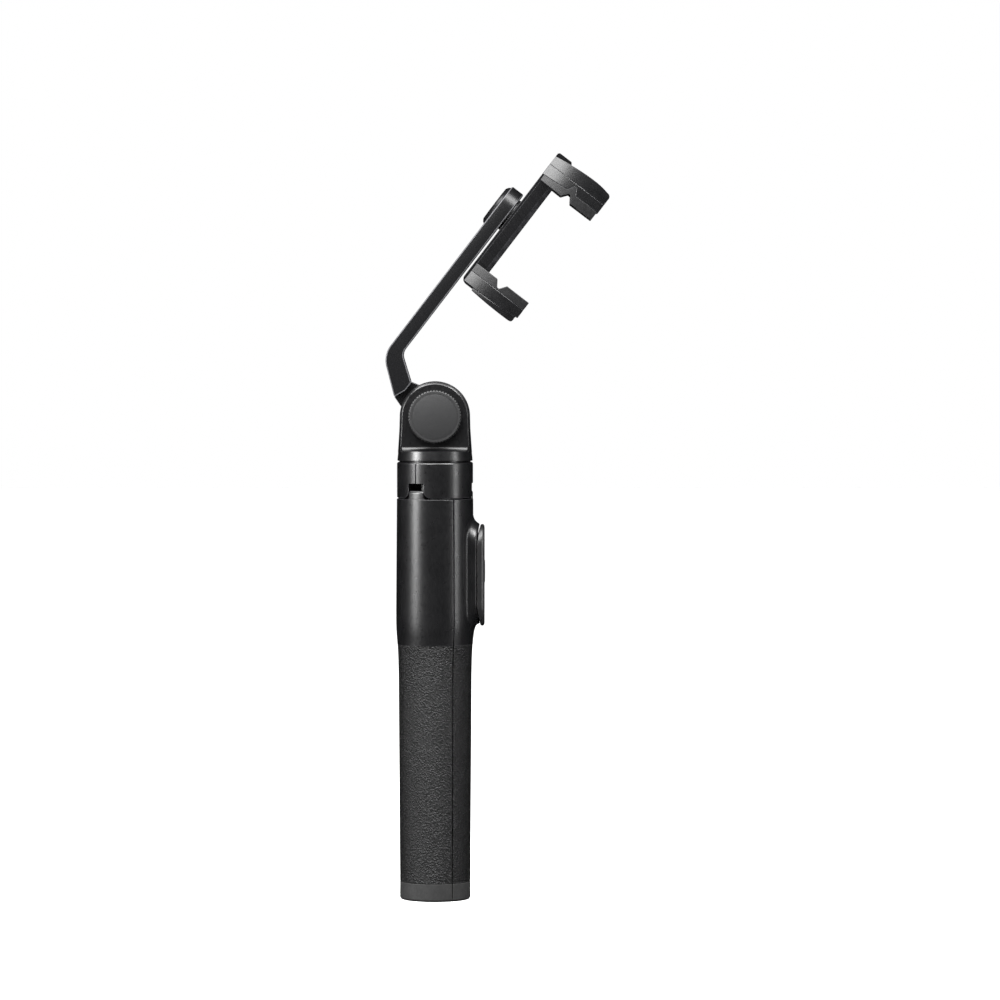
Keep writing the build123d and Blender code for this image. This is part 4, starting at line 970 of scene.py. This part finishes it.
# Brass, turned: warm yellow with fine lathe lines.
brass, shader, place = blank("turned_brass")
plug(brass, shader, {
    "Base Color": blended(brass, noise(brass, place, 1.2, 0, 1), "#b08d4a", "#c4a25e"),
    "Metallic": 1.0,
    "Roughness": noise(brass, place, 0.3, 0.22, 0.34, detail=4.0),
    "Normal": bumped(brass, noise(brass, place, 0.1, 0, 1, stretch=(1, 8, 1)), 0.002)})

# Glass-epoxy laminate under green solder mask: glossy, with the weave faintly visible.
laminate, shader, place = blank("glass_epoxy_laminate")
thread = 0.8
weave = grow(laminate, "ShaderNodeTexWave", {"Vector": place, "Scale": 1 / (thread * MM) / 20,
                                             "Distortion": 1.0}, bands_direction="Z").outputs["Fac"]
plug(laminate, shader, {
    "Base Color": blended(laminate, weave, "#0d3d1c", "#15532a"),
    "Roughness": noise(laminate, place, 0.6, 0.22, 0.34),
    "IOR": 1.55,
    "Normal": bumped(laminate, weave, 0.004)})

# Steel, pressed and nickel plated: bright and smooth with light scuffs.
nickel, shader, place = blank("nickel_plated_steel")
plug(nickel, shader, {
    "Base Color": blended(nickel, noise(nickel, place, 3.0, 0, 1), "#b4b4b0", "#c6c6c2"),
    "Metallic": 1.0,
    "Roughness": noise(nickel, place, 0.5, 0.16, 0.3, detail=5.0),
    "Normal": bumped(nickel, noise(nickel, place, 0.2, 0, 1), 0.001)})

hidden = {**{f"guide_{i}": acetal for i in range(2, 7)}, "fork_stem": steel, "knob_insert": brass,
          "swivel_screw": steel, "swivel_nut": steel, "remote_board": laminate, "remote_cell": nickel}
for node, finish in hidden.items():
    for holder in frame["nodes"][node].material_slots:
        holder.material = finish

# ======== Floor, light and camera ========
# A pale floor runs white into a white surround. A tall softbox stands at the left, a dimmer one
# at the right, and one hangs overhead, so that the black surfaces show their shape. Three small
# panels near the clamp pick out its jaws, the arm's head and the swivel's cap.
backdrop, shader, place = blank("pale_floor_paint")
plug(backdrop, shader, {
    "Base Color": blended(backdrop, noise(backdrop, place, 300.0, 0, 1), "#fbfbfb", "#ffffff"),
    "Roughness": 0.9,
    "Emission Color": linear("#ffffff"), "Emission Strength": 0.12})
floor_bm = bmesh.new()
bmesh.ops.create_grid(floor_bm, x_segments=1, y_segments=1, size=6.0)
floor_mesh = bpy.data.meshes.new("floor")
floor_bm.to_mesh(floor_mesh)
floor_bm.free()
floor_mesh.materials.append(backdrop)
floor = bpy.data.objects.new("floor", floor_mesh)
bpy.context.scene.collection.objects.link(floor)
floor.visible_glossy = False

world = bpy.data.worlds.new("white_surround")
bpy.context.scene.world = world
world.use_nodes = True
world.node_tree.nodes["Background"].inputs["Color"].default_value = linear("#ffffff")
world.node_tree.nodes["Background"].inputs["Strength"].default_value = 1.0
world.cycles_visibility.glossy = False

handle_at, clamp_at = Vector((0.0, 0.0, 0.2)), Vector((0.06, 0.0, 0.35))


def softbox(name, aim, azimuth, elevation, distance, width, height, power):
    """An area light that looks at a point, azimuth 0 being the camera's side."""
    a, e = radians(azimuth), radians(elevation)
    towards = Vector((sin(a) * cos(e), -cos(a) * cos(e), sin(e)))
    data = bpy.data.lights.new(name, "AREA")
    data.shape, data.size, data.size_y, data.energy = "RECTANGLE", width, height, power
    light = bpy.data.objects.new(name, data)
    light.rotation_mode = "QUATERNION"
    light.location = aim + towards * distance
    light.rotation_quaternion = towards.to_track_quat("Z", "Y")
    light.visible_camera = False
    bpy.context.scene.collection.objects.link(light)


# Aim, direction and height in degrees, distance, width and height in metres, and power in watts.
softbox("left_softbox", handle_at, -60, 13, 1.6, 0.46, 0.7, 36)
softbox("right_softbox", handle_at, 66, 8, 1.8, 0.36, 0.9, 10)
softbox("top_softbox", handle_at, -12, 64, 1.5, 1.3, 1.0, 40)
softbox("clamp_panel", clamp_at, -28, 20, 0.34, 0.19, 0.14, 1.3)
softbox("head_softbox", clamp_at, 50, 46, 0.8, 0.4, 0.4, 15)
softbox("cap_softbox", clamp_at, -82, 52, 0.9, 0.5, 0.4, 8)

view_width = 0.5                                          # what the picture shows, at the handle
view_x, view_z = 0.0325, 0.2                              # the middle of the picture
camera_z, distance = 0.285, 2.3
lens = bpy.data.cameras.new("camera")
lens.sensor_width = 36
lens.lens = lens.sensor_width * distance / view_width
camera = bpy.data.objects.new("camera", lens)
camera.location = (view_x, -distance, camera_z)
camera.rotation_euler = (radians(90) - atan2(camera_z - view_z, distance), 0, 0)
bpy.context.scene.collection.objects.link(camera)
bpy.context.scene.camera = camera
bpy.context.scene.view_settings.view_transform = "Standard"
